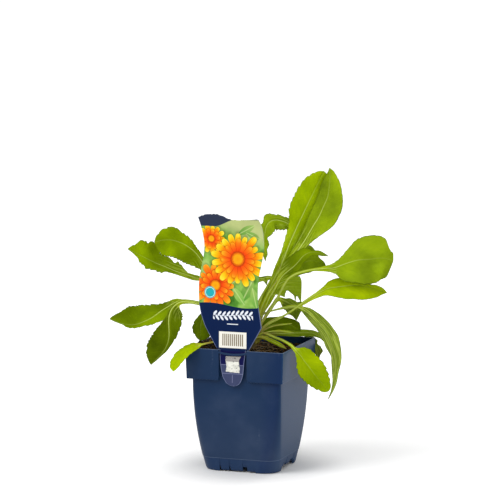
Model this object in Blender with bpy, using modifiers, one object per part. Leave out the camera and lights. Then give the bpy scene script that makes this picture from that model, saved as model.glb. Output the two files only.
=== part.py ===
"""Potted blanket flower: a young leafy plant in a square nursery pot, with its plant label.

Metres, +Z up. The origin is the middle of the pot's foot, and the label is on the -Y side.
The plant's own frame (across, away, up) is the pot's frame turned about Z by PLANT_TURN,
because the plant was not set square in its pot.
"""

from collections import namedtuple
from math import cos, pi, radians, sin, sqrt

import bmesh
import bpy
import numpy as np
from mathutils import Matrix

MM = 0.001
GAP = 0.3  # between pieces that touch

# Pot, in millimetres
POT_HEIGHT = 134.0
RIM_HALF = 55.0
BAND_LOW_HALF = 54.0
BAND_HEIGHT = 33.5
WALL_HALF = 49.8  # just under the band
WALL_FLARE = 9.3  # how much narrower the foot is, on each side
FOOT_CORNER, BAND_CORNER = 18.5, 4.0
WALL_HEIGHTS = (16.0, 26.0, 40.0, 58.0, 78.0)  # rings of the wall between its ledge and the band
WALL = 1.4
FLOOR_LOW, FLOOR_TOP = 6.5, 8.0
LEDGE_HEIGHT, LEDGE = 9.0, 0.35
FOOT_DRAW = 1.2  # how far the lowest edge is drawn in
SKIRT_HEIGHTS = (2.0, 5.0)
FOOT_GAP, SIDE_GAP = 1.3, 4.0  # heights of the gaps between the corner feet
NOTCH_X, NOTCH_TALL = (5.0, 10.4), 5.6
SLIT, SLIT_TALL, SLIT_X = 1.5, 4.8, (-20.8, -10.0)
SIDE_NOTCH, SIDE_NOTCH_TALL, SIDE_NOTCH_Y = 10.0, 6.2, (-10.0, 12.0)
BOSS = 26.0
FOOT_SPAN = 21.0  # the feet are the corners outside this, on each side
BAND_LOW = POT_HEIGHT - BAND_HEIGHT

# Label pocket in the band's front
POCKET_X = -1.8
POCKET_HALF = 15.6
BAR_TOP, BAR_SAG, BAR_TALL = 132.4, 2.0, 2.3

# Soil and crown
SOIL_TOP = 126.0
SOIL_MOUND = 1.0
CROWN_ACROSS = -3.0
CROWN_RADIUS, CROWN_HEIGHT = 9.0, 21.0
CROWN_FOOT = SOIL_TOP + SOIL_MOUND + GAP

# Label: a flat sheet with wavy edges, and a tongue that stands in the pocket
LABEL_THICK = 0.7
LABEL_Y = -52.3
LABEL_LEAN = radians(1.5)
LABEL_WAIST = POT_HEIGHT + GAP
# (height, x) up each long edge, from the slanting shoulders
LABEL_RIGHT = [
    (159.0, 30.0), (172.0, 28.0), (184.5, 26.0), (197.0, 25.5), (212.0, 26.5), (225.0, 29.0),
    (235.5, 31.0), (246.0, 32.0), (254.0, 31.5), (262.0, 30.5), (268.0, 28.5), (274.0, 25.0),
]
LABEL_LEFT = [
    (158.0, -33.5), (174.0, -39.0), (184.5, -40.5), (195.0, -41.0), (208.0, -40.5), (219.5, -38.5),
    (231.5, -36.0), (241.0, -35.0), (249.5, -35.5), (257.0, -37.0), (266.0, -39.5), (274.0, -42.5),
]
LABEL_TOP = [
    (16.0, 273.0), (5.0, 272.5), (-2.0, 272.5), (-6.5, 273.0), (-12.0, 275.0), (-17.5, 277.0),
    (-23.0, 278.0), (-29.0, 277.5), (-34.5, 277.0), (-39.0, 275.5),
]
# (x, height) round the tongue, from shoulder to shoulder
TONGUE = [
    (-20.5, LABEL_WAIST + 0.5), (-17.0, LABEL_WAIST), (-16.5, 128.5), (-16.0, 118.0), (-14.0, 107.5),
    (-13.0, 104.0), (-11.0, 101.0), (-9.0, 98.0), (-6.0, 96.5), (-3.5, 95.5), (-0.5, 95.5), (2.5, 96.0),
    (5.0, 97.5), (7.0, 100.0), (8.5, 103.5), (9.5, 107.0), (10.0, 110.5), (10.5, 117.5), (11.5, 126.0),
    (13.0, LABEL_WAIST), (16.5, LABEL_WAIST + 0.5),
]

# Sticker: a torn piece of paper on the tongue
STICKER_THICK = 0.3
STICKER = [
    (-9.5, 110.5), (5.5, 109.5), (5.5, 117.5), (5.0, 124.0), (6.5, 125.0), (7.5, 127.5),
    (-9.5, 127.5), (-10.0, 124.0), (-9.0, 117.5),
]

# Plant
PLANT_TURN = radians(19.4)
LEAF_THICK = 0.9
PETIOLE_HALF = 1.6
TIP_HALF = 0.3

POT_COLLECTION = "potted_blanket_flower"
CUTTER_COLLECTION = "cutters"


# ---------------------------------------------------------------- scene and materials

def clear_scene():
    for obj in list(bpy.data.objects):
        bpy.data.objects.remove(obj, do_unlink=True)


def collection(name):
    made = bpy.data.collections.new(name)
    bpy.context.scene.collection.children.link(made)
    return made


def material(name, colour, roughness):
    made = bpy.data.materials.new(name)
    made.use_nodes = True
    shader = made.node_tree.nodes["Principled BSDF"]
    shader.inputs["Base Color"].default_value = (*colour, 1.0)
    shader.inputs["Roughness"].default_value = roughness
    shader.inputs["Metallic"].default_value = 0.0
    return made


def add_object(name, data, group, surface=None):
    obj = bpy.data.objects.new(name, data)
    group.objects.link(obj)
    if surface is not None:
        data.materials.append(surface)
    return obj


def as_cutter(obj):
    obj.hide_render = True
    obj.display_type = "WIRE"
    return obj


def boolean(obj, operation, other):
    modifier = obj.modifiers.new(other.name, "BOOLEAN")
    modifier.operation = operation
    modifier.object = other
    modifier.solver = "EXACT"
    modifier.use_self = True  # a cutter may be made of boxes that cross


# ---------------------------------------------------------------- shapes

def loft(name, rings, group, surface=None):
    """A closed solid through rings of equal length, each an (n, 3) array in millimetres."""
    bm = bmesh.new()
    rows = [[bm.verts.new(point * MM) for point in ring] for ring in rings]
    for low, high in zip(rows, rows[1:]):
        for i, corner in enumerate(low):
            j = (i + 1) % len(low)
            bm.faces.new((corner, low[j], high[j], high[i]))
    bm.faces.new(rows[0][::-1])
    bm.faces.new(rows[-1])
    bmesh.ops.recalc_face_normals(bm, faces=bm.faces)
    mesh = bpy.data.meshes.new(name)
    bm.to_mesh(mesh)
    bm.free()
    return add_object(name, mesh, group, surface)


def boxes(name, corners, group):
    """One cutter made of boxes, each given by its lowest and highest corner in millimetres."""
    bm = bmesh.new()
    for low, high in corners:
        low, high = np.array(low), np.array(high)
        place = Matrix.Translation((low + high) / 2 * MM) @ Matrix.Diagonal((*((high - low) * MM), 1))
        bmesh.ops.create_cube(bm, size=1.0, matrix=place)
    mesh = bpy.data.meshes.new(name)
    bm.to_mesh(mesh)
    bm.free()
    return as_cutter(add_object(name, mesh, group))


def plate(name, outline, thickness, group, surface=None):
    """A flat sheet from an (x, z) outline in millimetres, standing upright and centred on y = 0."""
    curve = bpy.data.curves.new(name, "CURVE")
    curve.dimensions = "2D"
    curve.fill_mode = "BOTH"
    curve.extrude = thickness / 2 * MM
    spline = curve.splines.new("POLY")
    spline.points.add(len(outline) - 1)
    for point, (x, z) in zip(spline.points, outline):
        point.co = (x * MM, z * MM, 0.0, 1.0)
    spline.use_cyclic_u = True
    obj = add_object(name, curve, group, surface)
    obj.rotation_euler = (pi / 2, 0.0, 0.0)
    return obj


def meshed(obj, group):
    """The object as a welded mesh, in place of its curve."""
    bpy.context.view_layer.update()
    evaluated = obj.evaluated_get(bpy.context.evaluated_depsgraph_get())
    mesh = bpy.data.meshes.new_from_object(evaluated)
    bm = bmesh.new()
    bm.from_mesh(mesh)
    bmesh.ops.remove_doubles(bm, verts=bm.verts, dist=1e-6)
    bmesh.ops.recalc_face_normals(bm, faces=bm.faces)
    bm.to_mesh(mesh)
    bm.free()
    name, place = obj.name, obj.matrix_world.copy()
    bpy.data.objects.remove(obj)
    made = add_object(name, mesh, group)
    made.matrix_world = place
    return made


# ---------------------------------------------------------------- pot

def rounded_square(half, corner, height, steps=6):
    """A ring of points round a square with rounded corners, seen from above, anticlockwise."""
    turns = [quarter * pi / 2 + step * pi / 2 / steps for quarter in range(4) for step in range(steps + 1)]
    middle = half - corner
    signs = [(1, 1), (-1, 1), (-1, -1), (1, -1)]
    points = []
    for i, turn in enumerate(turns):
        sx, sy = signs[i // (steps + 1)]
        points.append((sx * middle + corner * cos(turn), sy * middle + corner * sin(turn), height))
    return np.array(points)


def wall_half(height):
    """Half the pot's width at a height under the band: the wall flares in towards the foot."""
    return WALL_HALF - WALL_FLARE * (1 - height / BAND_LOW) ** 2.2


def wall_corner(height):
    return BAND_CORNER + (FOOT_CORNER - BAND_CORNER) * (1 - height / BAND_LOW) ** 1.6


def wall_ring(height, inset=0.0):
    return rounded_square(wall_half(height) - inset, wall_corner(height) - inset, height)


def band_ring(height, inset=0.0):
    rise = (height - BAND_LOW) / BAND_HEIGHT
    half = BAND_LOW_HALF + (RIM_HALF - BAND_LOW_HALF) * rise
    return rounded_square(half - inset, BAND_CORNER - inset, height)


def pocket_box(grow, top):
    """The pocket's space in the band, widened by grow on each side and at its back."""
    back = -WALL_HALF + grow
    low = (POCKET_X - POCKET_HALF - grow, -RIM_HALF - 5, BAND_LOW - 5)
    high = (POCKET_X + POCKET_HALF + grow, back, top)
    return low, high


def build_pot(group, cutters, surface):
    heights = (LEDGE_HEIGHT, *WALL_HEIGHTS, BAND_LOW)
    foot = rounded_square(wall_half(0) - FOOT_DRAW, wall_corner(0) - FOOT_DRAW, 0.0)
    skirt = [wall_ring(height, LEDGE) for height in (*SKIRT_HEIGHTS, LEDGE_HEIGHT - LEDGE)]
    rings = [foot] + skirt + [wall_ring(height) for height in heights]
    rings += [band_ring(BAND_LOW), band_ring(POT_HEIGHT)]
    pot = loft("square_pot", rings, group, surface)

    inside = [wall_ring(height, WALL) for height in (FLOOR_TOP, *WALL_HEIGHTS, BAND_LOW)]
    inside[-1][:, 2] = BAND_LOW + WALL
    above = band_ring(POT_HEIGHT, WALL)
    above[:, 2] += 5
    inside += [band_ring(BAND_LOW + WALL, WALL), above]
    hollow = as_cutter(loft("hollow", inside, cutters))
    boolean(hollow, "DIFFERENCE", boxes("pocket_wall", [pocket_box(WALL, POT_HEIGHT + 10)], cutters))

    under = [rounded_square(wall_half(0) - FOOT_DRAW - WALL, wall_corner(0) - WALL, -1.0)]
    under += [wall_ring(height, WALL + LEDGE) for height in (SKIRT_HEIGHTS[0], FLOOR_LOW)]
    foot_space = as_cutter(loft("foot_space", under, cutters))
    boss = ((-BOSS / 2, -BOSS / 2, -5.0), (BOSS / 2, BOSS / 2, FLOOR_LOW + 5))
    boolean(foot_space, "DIFFERENCE", boxes("boss", [boss], cutters))

    boolean(pot, "DIFFERENCE", boxes("pocket", [pocket_box(0.0, POT_HEIGHT + 5)], cutters))
    boolean(pot, "DIFFERENCE", hollow)
    boolean(pot, "DIFFERENCE", foot_space)
    boolean(pot, "DIFFERENCE", boxes("drain_gaps", drain_gaps(), cutters))
    boolean(pot, "UNION", bridge_bar(cutters))
    return pot


def drain_gaps():
    """Gaps between the feet, and notches and slits in the skirt below the pot's floor."""
    out, deep, below = RIM_HALF, wall_half(0) - 4 * WALL, -5.0
    gaps = [
        ((-FOOT_SPAN, -out, below), (FOOT_SPAN - SLIT, -deep, FOOT_GAP)),
        ((-FOOT_SPAN, deep, below), (FOOT_SPAN, out, FOOT_GAP)),
        ((deep, -FOOT_SPAN, below), (out, FOOT_SPAN, SIDE_GAP)),
        ((-out, -FOOT_SPAN, below), (-deep, FOOT_SPAN, SIDE_GAP)),
    ]
    for side in (-1, 1):
        low, high = sorted((side * out, side * deep))
        gaps.append(((NOTCH_X[0], low, below), (NOTCH_X[1], high, NOTCH_TALL)))
        gaps += [((x, low, below), (x + SLIT, high, SLIT_TALL)) for x in SLIT_X]
        for middle in SIDE_NOTCH_Y:
            corner = (low, middle - SIDE_NOTCH / 2, below)
            gaps.append((corner, (high, middle + SIDE_NOTCH / 2, SIDE_NOTCH_TALL)))
    return gaps


def bridge_bar(cutters):
    """The thin sagging bar across the pocket's mouth that holds the label in."""
    span = POCKET_HALF + 2
    xs = np.linspace(-span, span, 9)
    sag = BAR_SAG * (1 - (xs / span) ** 2)
    top = list(zip(xs + POCKET_X, BAR_TOP - sag))
    bottom = list(zip(xs[::-1] + POCKET_X, BAR_TOP - BAR_TALL - sag[::-1]))
    bar = meshed(plate("bridge_bar", top + bottom, WALL, cutters), cutters)
    bar.location.y = -(RIM_HALF - 0.1 - WALL / 2) * MM
    return as_cutter(bar)


# ---------------------------------------------------------------- soil and crown

def build_root_ball(group, cutters, surface):
    inset = WALL + GAP + 0.1
    heights = (FLOOR_TOP + GAP, *WALL_HEIGHTS, BAND_LOW)
    rings = [wall_ring(height, inset) for height in heights]
    step = wall_ring(BAND_LOW, inset)
    step[:, 2] = BAND_LOW + inset
    rings += [step, band_ring(BAND_LOW + inset, inset), band_ring(SOIL_TOP, inset)]
    for share, rise in ((0.85, 0.5), (0.55, 0.9), (0.3, 1.0)):
        ring = band_ring(SOIL_TOP, inset) * (share, share, 1)
        ring[:, 2] += SOIL_MOUND * rise
        rings.append(ring)
    ball = loft("root_ball", rings, group, surface)
    space = boxes("soil_behind_pocket", [pocket_box(inset, POT_HEIGHT)], cutters)
    boolean(ball, "DIFFERENCE", space)
    return ball


def crown_radius(height):
    """The crown narrows upwards as an ellipse."""
    return CROWN_RADIUS * sqrt(max(0.0, 1 - (height / CROWN_HEIGHT) ** 2))


def build_crown(group, surface):
    heights = [CROWN_HEIGHT * sin(radians(angle)) for angle in (90, 75, 60, 45, 30, 15, 0)]
    profile = [(crown_radius(height), height) for height in heights] + [(0.0, 0.0)]
    mesh = bpy.data.meshes.new("crown")
    points = [(radius * MM, 0.0, height * MM) for radius, height in profile]
    mesh.from_pydata(points, [(i, i + 1) for i in range(len(points) - 1)], [])
    crown = add_object("crown", mesh, group, surface)
    screw = crown.modifiers.new("turned", "SCREW")
    screw.steps = screw.render_steps = 20
    screw.use_merge_vertices = True
    screw.merge_threshold = 0.00001
    crown.location = plant_to_pot(np.array([CROWN_ACROSS, 0.0, CROWN_FOOT])) * MM
    return crown


# ---------------------------------------------------------------- label

def label_outline():
    """Anticlockwise: the tongue, the right edge upwards, the top, and the left edge downwards."""
    right = [(x, height) for height, x in LABEL_RIGHT]
    left = [(x, height) for height, x in LABEL_LEFT[::-1]]
    return TONGUE + right + LABEL_TOP + left


def lean_label(obj, forward=0.0):
    """Stands a plate of the label in its plane, which leans back about the pot's rim."""
    pivot = Matrix.Translation((0.0, (LABEL_Y - forward) * MM, POT_HEIGHT * MM))
    back = Matrix.Rotation(-LABEL_LEAN, 4, "X")
    upright = Matrix.Rotation(pi / 2, 4, "X")
    obj.matrix_world = pivot @ back @ Matrix.Translation((0.0, 0.0, -POT_HEIGHT * MM)) @ upright


def build_label(group, surface):
    label = plate("plant_label", label_outline(), LABEL_THICK, group, surface)
    lean_label(label)
    return label


def build_sticker(group, surface):
    sticker = plate("label_sticker", STICKER, STICKER_THICK, group, surface)
    lean_label(sticker, forward=(LABEL_THICK + STICKER_THICK) / 2 + GAP)
    return sticker


# ---------------------------------------------------------------- leaves

# Routes are in the plant's frame (across, away, up), from the crown's side of the leaf to its tip.
Leaf = namedtuple("Leaf", [
    "bearing",  # of the petiole's seat on the crown, in degrees from across towards away
    "rise",  # of that seat above the crown's foot
    "route",  # of the midrib, after the seat
    "petiole",  # its share of the length
    "left",  # half widths of the blade at six stations, on the side that is left of its route
    "right",
    "fold",  # how far each half is folded up from flat, in degrees
    "faces",  # the directions that the upper face looks in, at the base and at the tip
])
LEAVES = {
    "leaf_tall_rear": Leaf(
        20, 19, [(13.5, 2, 180), (20.5, 3.5, 192.5), (27.5, 5, 205.5), (34.5, 9, 223),
        (48.5, 14, 255.5), (64.5, 21, 288.5), (78.5, 27, 316.5)],
        0.42, (6, 6.5, 10.5, 18.5, 16.5, 8), (5.5, 8.5, 13, 17.5, 17.5, 10), 12,
        [(0.3, -1, 0.3), (0.1, -1, 0.3)]),
    "leaf_tall_front": Leaf(
        -25, 19, [(16.5, -1, 180.5), (24.5, -1, 195.5), (33, -1, 211.5), (49, 2, 232), (63, 5, 253),
        (78, 9, 281), (84, 10, 301), (84, 10, 322)],
        0.43, (4.5, 6, 8.5, 11, 10, 4), (4, 5.5, 10.5, 19, 13.5, 6), 12,
        [(0.3, -1, 0.3), (0, -1, 0.2)]),
    "leaf_arched_rear": Leaf(
        75, 19, [(9.5, 17, 177.5), (16, 19, 188.5), (21.5, 21, 198), (28, 24, 214), (35.5, 28, 236),
        (39, 30, 252.5), (33.5, 29, 260.5), (26.5, 28, 263), (19.5, 26, 260), (15.5, 24, 251),
        (14, 22, 237), (15.5, 21, 218.5)],
        0.5, (0.8, 2.5, 10.5, 10.5, 5.5, 2.5), (0.8, 3, 7, 8, 7.5, 5), 10,
        [(0, 1, 0.3), (-0.3, -1, 0.3)]),
    "leaf_round_left": Leaf(
        215, 19, [(-6.5, -6, 181), (-31, -6, 197.5), (-47, -7, 213.5), (-54.5, -9, 226.5),
        (-63, -11, 236.5), (-73.5, -13, 243.5), (-88.5, -15, 247.5), (-103, -17, 245.5)],
        0.42, (0.8, 0.8, 12.5, 19, 21, 17.5), (0.8, 0.8, 4, 7.5, 14, 6.5), 8,
        [(0, -1, 0.5), (-0.2, -1, 0.5)]),
    "leaf_toothed_left": Leaf(
        185, 15, [(-12, 1, 180), (-31.5, 4, 195), (-53, 4, 202), (-65.5, 4, 206), (-78.5, 3, 210.5),
        (-92.5, 2, 216.5), (-108.5, 1, 223.5), (-121, 0, 230), (-132, 0, 236)],
        0.45, (1, 4, 5, 10.5, 11, 5), (0.8, 2, 9.5, 11.5, 15.5, 7), 12,
        [(-0.5, -1, 0.6), (0.2, -1, 0.5)]),
    "leaf_level_left": Leaf(
        200, 13, [(-20.5, -8, 175), (-38.5, -10, 179), (-54.5, -10, 181), (-72, -10, 181.5),
        (-80.5, -10, 179.5), (-89, -10.5, 175), (-97.5, -11, 169.5), (-106, -11.5, 163.5),
        (-113.5, -12, 159.5), (-122, -12.5, 156.5), (-132, -13, 156), (-142.5, -13.5, 158.5),
        (-152, -14, 162.5)],
        0.42, (0.8, 6, 24, 11.5, 6, 0.8), (0.8, 2, 7, 18.5, 19, 7), 24,
        [(0, -0.4, 1), (-0.3, -1, 0.9)]),
    "leaf_drooping_left": Leaf(
        235, 13, [(-20.5, -15, 171.5), (-37.5, -21, 178), (-54.5, -25, 181.5), (-67, -28, 183),
        (-75.5, -30, 182.5), (-81.5, -32, 179), (-85, -34, 174.5), (-87, -36, 168.5),
        (-87.5, -38, 161.5), (-87, -40, 152), (-88, -41, 142.5), (-91.5, -41.5, 134),
        (-97.5, -42, 126), (-106.5, -42, 117)],
        0.45, (0.8, 3.5, 15, 7.5, 2.5, 1), (0.8, 0.8, 3, 18, 19, 10.5), 14,
        [(0, -0.5, 1), (-0.1, -1, 0.2)]),
    "leaf_small_left": Leaf(
        250, 7, [(-20.5, -16, 163), (-36.5, -19, 173.5), (-47, -22, 171.5), (-52, -24, 164.5),
        (-54, -25, 154), (-53, -25, 140)],
        0.45, (0.8, 0.8, 6, 11, 10.5, 7), (0.8, 0.8, 2, 6, 8, 4.5), 8,
        [(0, -0.5, 1), (-0.1, -1, 0.2)]),
    "leaf_over_left_rim": Leaf(
        222, 6, [(-17, -20, 145.5), (-40.5, -30, 141), (-49, -34.5, 140), (-55.5, -37.5, 138.5),
        (-60.5, -39.5, 136), (-67, -42, 132), (-74.5, -44, 125.5), (-79.5, -45.5, 119),
        (-83, -46, 110.5)],
        0.42, (3.5, 6, 5.5, 6.5, 6, 2.5), (1.5, 0.8, 5, 7.5, 7, 4), 8,
        [(0, -0.3, 1), (-0.5, -1, 0.4)]),
    "leaf_broad_right": Leaf(
        -62, 13, [(14, -9, 162), (19, -12, 171), (25, -15, 182.5), (31, -18, 195),
        (40.5, -20.5, 206.5), (54, -22.5, 214), (69, -23.5, 217), (84, -23, 218.5), (100, -21, 222.5),
        (121.5, -18, 227), (137.5, -15, 228.5), (152, -12, 224.5)],
        0.52, (0.8, 3, 8, 23, 24.5, 9), (0.8, 4, 22.5, 30, 29, 20), 8,
        [(0, -0.6, 1), (0, -1, 0.6)]),
    "leaf_long_right": Leaf(
        -12, 9, [(16, -12, 155), (24.5, -14, 160), (32, -15, 164), (39.5, -15.5, 168.5),
        (48, -16, 174.5), (53.5, -16, 178.5), (65, -16.5, 186.5), (78, -17, 193.5), (92.5, -17, 197),
        (111, -16.5, 199), (128, -15.5, 197), (145.5, -14, 190.5)],
        0.43, (1.5, 3, 10, 7, 2.5, 1.5), (3.5, 4, 12, 18.5, 14.5, 5.5), 8,
        [(0, -0.6, 1), (0, -1, 0.7)]),
    "leaf_arching_right": Leaf(
        -36, 13, [(14, -5, 166.5), (23.5, -5.5, 170), (36.5, -6, 173), (50.5, -6, 173), (60, -6, 168),
        (69.5, -6, 159.5), (79.5, -6, 147.5), (86, -6.5, 135.5), (90, -7, 125), (92, -8, 114),
        (91, -8.5, 103.5), (89.5, -9, 92.5), (87, -9.5, 82.5), (84, -10, 73.5)],
        0.2, (0.8, 3, 8, 9, 2.5, 0.8), (0.8, 3.5, 10.5, 9, 5.5, 0.8), 12,
        [(0, -0.5, 1), (0.8, -0.8, 0.2)]),
    "leaf_over_right_rim": Leaf(
        -48, 8, [(11.5, -12, 146.5), (22.5, -20.5, 144.5), (32, -29, 142), (39, -37, 139.5),
        (43.5, -41.5, 137), (47.5, -44, 133), (52, -45, 128.5), (56, -44.5, 122.5),
        (61.5, -44.5, 115.5), (66.5, -44, 108.5), (74, -42, 98.5), (82.5, -40, 88)],
        0.47, (0.8, 4.5, 12.5, 14, 11, 4.5), (2, 5.5, 15, 14.5, 10, 4), 8,
        [(0, -0.2, 1), (-0.1, -1, 0.5)]),
    "leaf_dark_right": Leaf(
        55, 6, [(12, 12, 148), (20.5, 14.5, 150.5), (31.5, 17, 152), (42, 19.5, 150), (54, 21, 143)],
        0.12, (0.8, 6.5, 9.5, 7.5, 7.5, 3), (0.8, 10, 11, 10, 6, 2), 8,
        [(0, -0.6, 1), (0, -1, 0.6)]),
    "leaf_over_back_rim": Leaf(
        30, 6, [(16, 11, 141.5), (32.5, 20, 141.5), (47.5, 28, 141), (59.5, 31, 140.5),
        (67.5, 33, 138.5), (73, 34.5, 132.5), (75, 35, 124.5), (77, 35.5, 111)],
        0.3, (3, 4, 4, 4, 3.5, 2), (3, 4, 4, 4, 3.5, 2), 3,
        [(0, -0.3, 1), (0.6, -0.6, 0.6)]),
    "leaf_narrow_front": Leaf(
        -92, 8, [(11.5, -17, 143), (20, -20.5, 140.5), (30, -24, 136), (37.5, -27, 132)],
        0.3, (1.6, 2.6, 3.4, 3.4, 2.6, 1.4), (1.6, 2.6, 3.4, 3.4, 2.6, 1.4), 8,
        [(0, -0.2, 1), (0, -0.5, 1)]),
    "leaf_pointed_right": Leaf(
        -70, 19, [(17, -7, 178), (27, -10, 197), (34, -11, 208.5), (41.5, -12, 215.5), (50, -13, 223),
        (57, -13.5, 231), (63, -14, 234), (71.5, -14.5, 234), (82.5, -15, 231.5)],
        0.45, (0.8, 5.5, 12.5, 11, 2, 2), (0.8, 4, 8, 11.5, 12.5, 8), 8,
        [(0, -1, 0.5), (0, -0.3, 1)]),
    "leaf_behind_right": Leaf(
        48, 13, [(16, 14, 176), (31, 20, 199), (45.5, 24, 210), (58.5, 26, 218), (70, 27, 219),
        (81, 27, 213)],
        0.35, (0.8, 0.8, 3, 13, 12.5, 1.5), (0.8, 0.8, 6.5, 11.5, 13, 9.5), 8,
        [(0.3, -1, 0.3), (0.1, -1, 0.3)]),
    "leaf_hanging_middle": Leaf(
        28, 13, [(18, 9, 178), (25.5, 11, 191), (33, 13, 197.5), (42, 15, 199), (48.5, 17, 198.5),
        (54.5, 19, 198)],
        0.38, (0.8, 0.8, 0.8, 2, 5, 5.5), (0.8, 0.8, 0.8, 15.5, 20.5, 20), 8,
        [(0, -0.6, 1), (0, -1, 0.3)]),
    "leaf_curled_middle": Leaf(
        5, 13, [(17, 5, 169.5), (28, 8, 177.5), (36.5, 10, 177), (44, 12, 173), (49, 13, 166.5),
        (49.5, 13.5, 158)],
        0.35, (0.8, 0.8, 2, 5, 9.5, 1), (0.8, 0.8, 2.5, 8.5, 10, 5), 10,
        [(0, -0.6, 1), (0.3, -1, 0.3)]),
    "leaf_hidden_rear": Leaf(
        115, 19, [(4, 21, 171.5), (9.5, 24.5, 187.5), (12.5, 26, 197), (6.5, 26, 200), (-9, 25, 195),
        (-25, 23, 181)],
        0.3, (3, 7, 8, 7, 6, 3), (3, 8, 9, 7, 6, 3), 8,
        [(0, 1, 0.3), (-0.3, -1, 0.3)]),
}


def plant_to_pot(points):
    """Points in the plant's frame, turned into the pot's."""
    c, s = cos(PLANT_TURN), sin(PLANT_TURN)
    return points @ np.array([[c, s, 0.0], [-s, c, 0.0], [0.0, 0.0, 1.0]])


def spline(knots, values, at):
    """The natural cubic spline through values at knots, read at the places given."""
    gap = np.diff(knots)
    size = len(knots)
    system = np.eye(size)
    target = np.zeros_like(values)
    slope = np.diff(values, axis=0) / gap[:, None]
    for i in range(1, size - 1):
        system[i, i - 1:i + 2] = gap[i - 1], 2 * (gap[i - 1] + gap[i]), gap[i]
        target[i] = 6 * (slope[i] - slope[i - 1])
    bend = np.linalg.solve(system, target)
    i = np.clip(np.searchsorted(knots, at, side="right") - 1, 0, size - 2)
    width = gap[i][:, None]
    before = (at - knots[i])[:, None]
    after = (knots[i + 1] - at)[:, None]
    cubic = (bend[i] * after ** 3 + bend[i + 1] * before ** 3) / (6 * width)
    line_start = (values[i] / width - bend[i] * width / 6) * after
    line_end = (values[i + 1] / width - bend[i + 1] * width / 6) * before
    return cubic + line_start + line_end


def smooth_route(points, count):
    """count points evenly spaced along a smooth curve through the given ones, and its length."""
    points = np.array(points, float)
    knots = np.append(0.0, np.cumsum(np.linalg.norm(np.diff(points, axis=0), axis=1)))
    fine = spline(knots, points, np.linspace(0, knots[-1], count))
    along = np.append(0.0, np.cumsum(np.linalg.norm(np.diff(fine, axis=0), axis=1)))
    even = np.linspace(0, along[-1], count)
    return np.stack([np.interp(even, along, axis) for axis in fine.T], axis=1), along[-1]


def blade_half_width(t, petiole, stations):
    """Half width at share t of the length: a slim petiole, then a blade through its stations,
    which lie closer together towards the blade's two ends."""
    values = np.array([PETIOLE_HALF, *stations, TIP_HALF])[:, None]
    along = np.clip((t - petiole) / (1 - petiole), 0, 1)
    turn = np.arccos(1 - 2 * along) / pi
    width = spline(np.linspace(0, 1, len(values)), values, turn.reshape(-1))
    return np.maximum(width, TIP_HALF).reshape(t.shape)


def unit(vectors):
    return vectors / np.linalg.norm(vectors, axis=-1, keepdims=True)


def leaf_seat(leaf):
    """The point just off the crown's surface where a petiole starts, in the plant's frame."""
    turn = radians(leaf.bearing)
    radius = crown_radius(leaf.rise) + LEAF_THICK / 2 + 3 * GAP
    return CROWN_ACROSS + radius * cos(turn), radius * sin(turn), CROWN_FOOT + leaf.rise


def leaf_grid(leaf):
    """Rows of points across the leaf, from its seat to its tip, closer together towards the tip."""
    points = [leaf_seat(leaf)] + leaf.route
    fine, length = smooth_route(points, 400)
    rows = int(np.clip(length / 8, 9, 22))
    t = 1 - (1 - np.linspace(0, 1, rows)) ** 1.4
    spine = np.stack([np.interp(t, np.linspace(0, 1, 400), fine[:, axis]) for axis in range(3)], axis=1)
    forward = unit(np.gradient(spine, t, axis=0))
    t = t[:, None]
    facing = (1 - t) * np.array(leaf.faces[0]) + t * np.array(leaf.faces[1])
    side = unit(np.cross(forward, facing))
    up = np.cross(side, forward)
    width = [blade_half_width(t, leaf.petiole, stations) for stations in (leaf.left, leaf.right)]
    across = np.linspace(-1, 1, 5)
    across = across * np.where(across < 0, *width)
    fold = radians(leaf.fold)
    aside = (across * cos(fold))[:, :, None]
    lift = (np.abs(across) * sin(fold))[:, :, None]
    return spine[:, None] + side[:, None] * aside + up[:, None] * lift


def build_leaf(name, leaf, group, surface):
    grid = leaf_grid(leaf)
    rows, columns = grid.shape[:2]
    points = plant_to_pot(grid.reshape(-1, 3)) * MM
    corner = (np.arange(rows - 1)[:, None] * columns + np.arange(columns - 1)).reshape(-1)
    faces = np.stack([corner, corner + 1, corner + columns + 1, corner + columns], axis=1)
    mesh = bpy.data.meshes.new(name)
    mesh.from_pydata(points.tolist(), [], faces.tolist())
    mesh.shade_smooth()
    obj = add_object(name, mesh, group, surface)
    shell = obj.modifiers.new("thickness", "SOLIDIFY")
    shell.thickness = LEAF_THICK * MM
    shell.offset = 0.0
    return obj


# ---------------------------------------------------------------- assembly

def main():
    clear_scene()
    group = collection(POT_COLLECTION)
    cutters = collection(CUTTER_COLLECTION)
    build_pot(group, cutters, material("navy_plastic", (0.027, 0.047, 0.108), 0.45))
    build_root_ball(group, cutters, material("peat", (0.05, 0.027, 0.012), 0.95))
    build_crown(group, material("crown_fibre", (0.16, 0.20, 0.03), 0.7))
    build_label(group, material("label_print", (0.02, 0.03, 0.15), 0.3))
    build_sticker(group, material("sticker_paper", (0.75, 0.74, 0.68), 0.8))
    green = material("leaf_green", (0.24, 0.36, 0.01), 0.5)
    for name, leaf in LEAVES.items():
        build_leaf(name, leaf, group, green)


main()
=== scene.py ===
from collections import namedtuple
from math import cos, pi, radians, sin, sqrt

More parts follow.
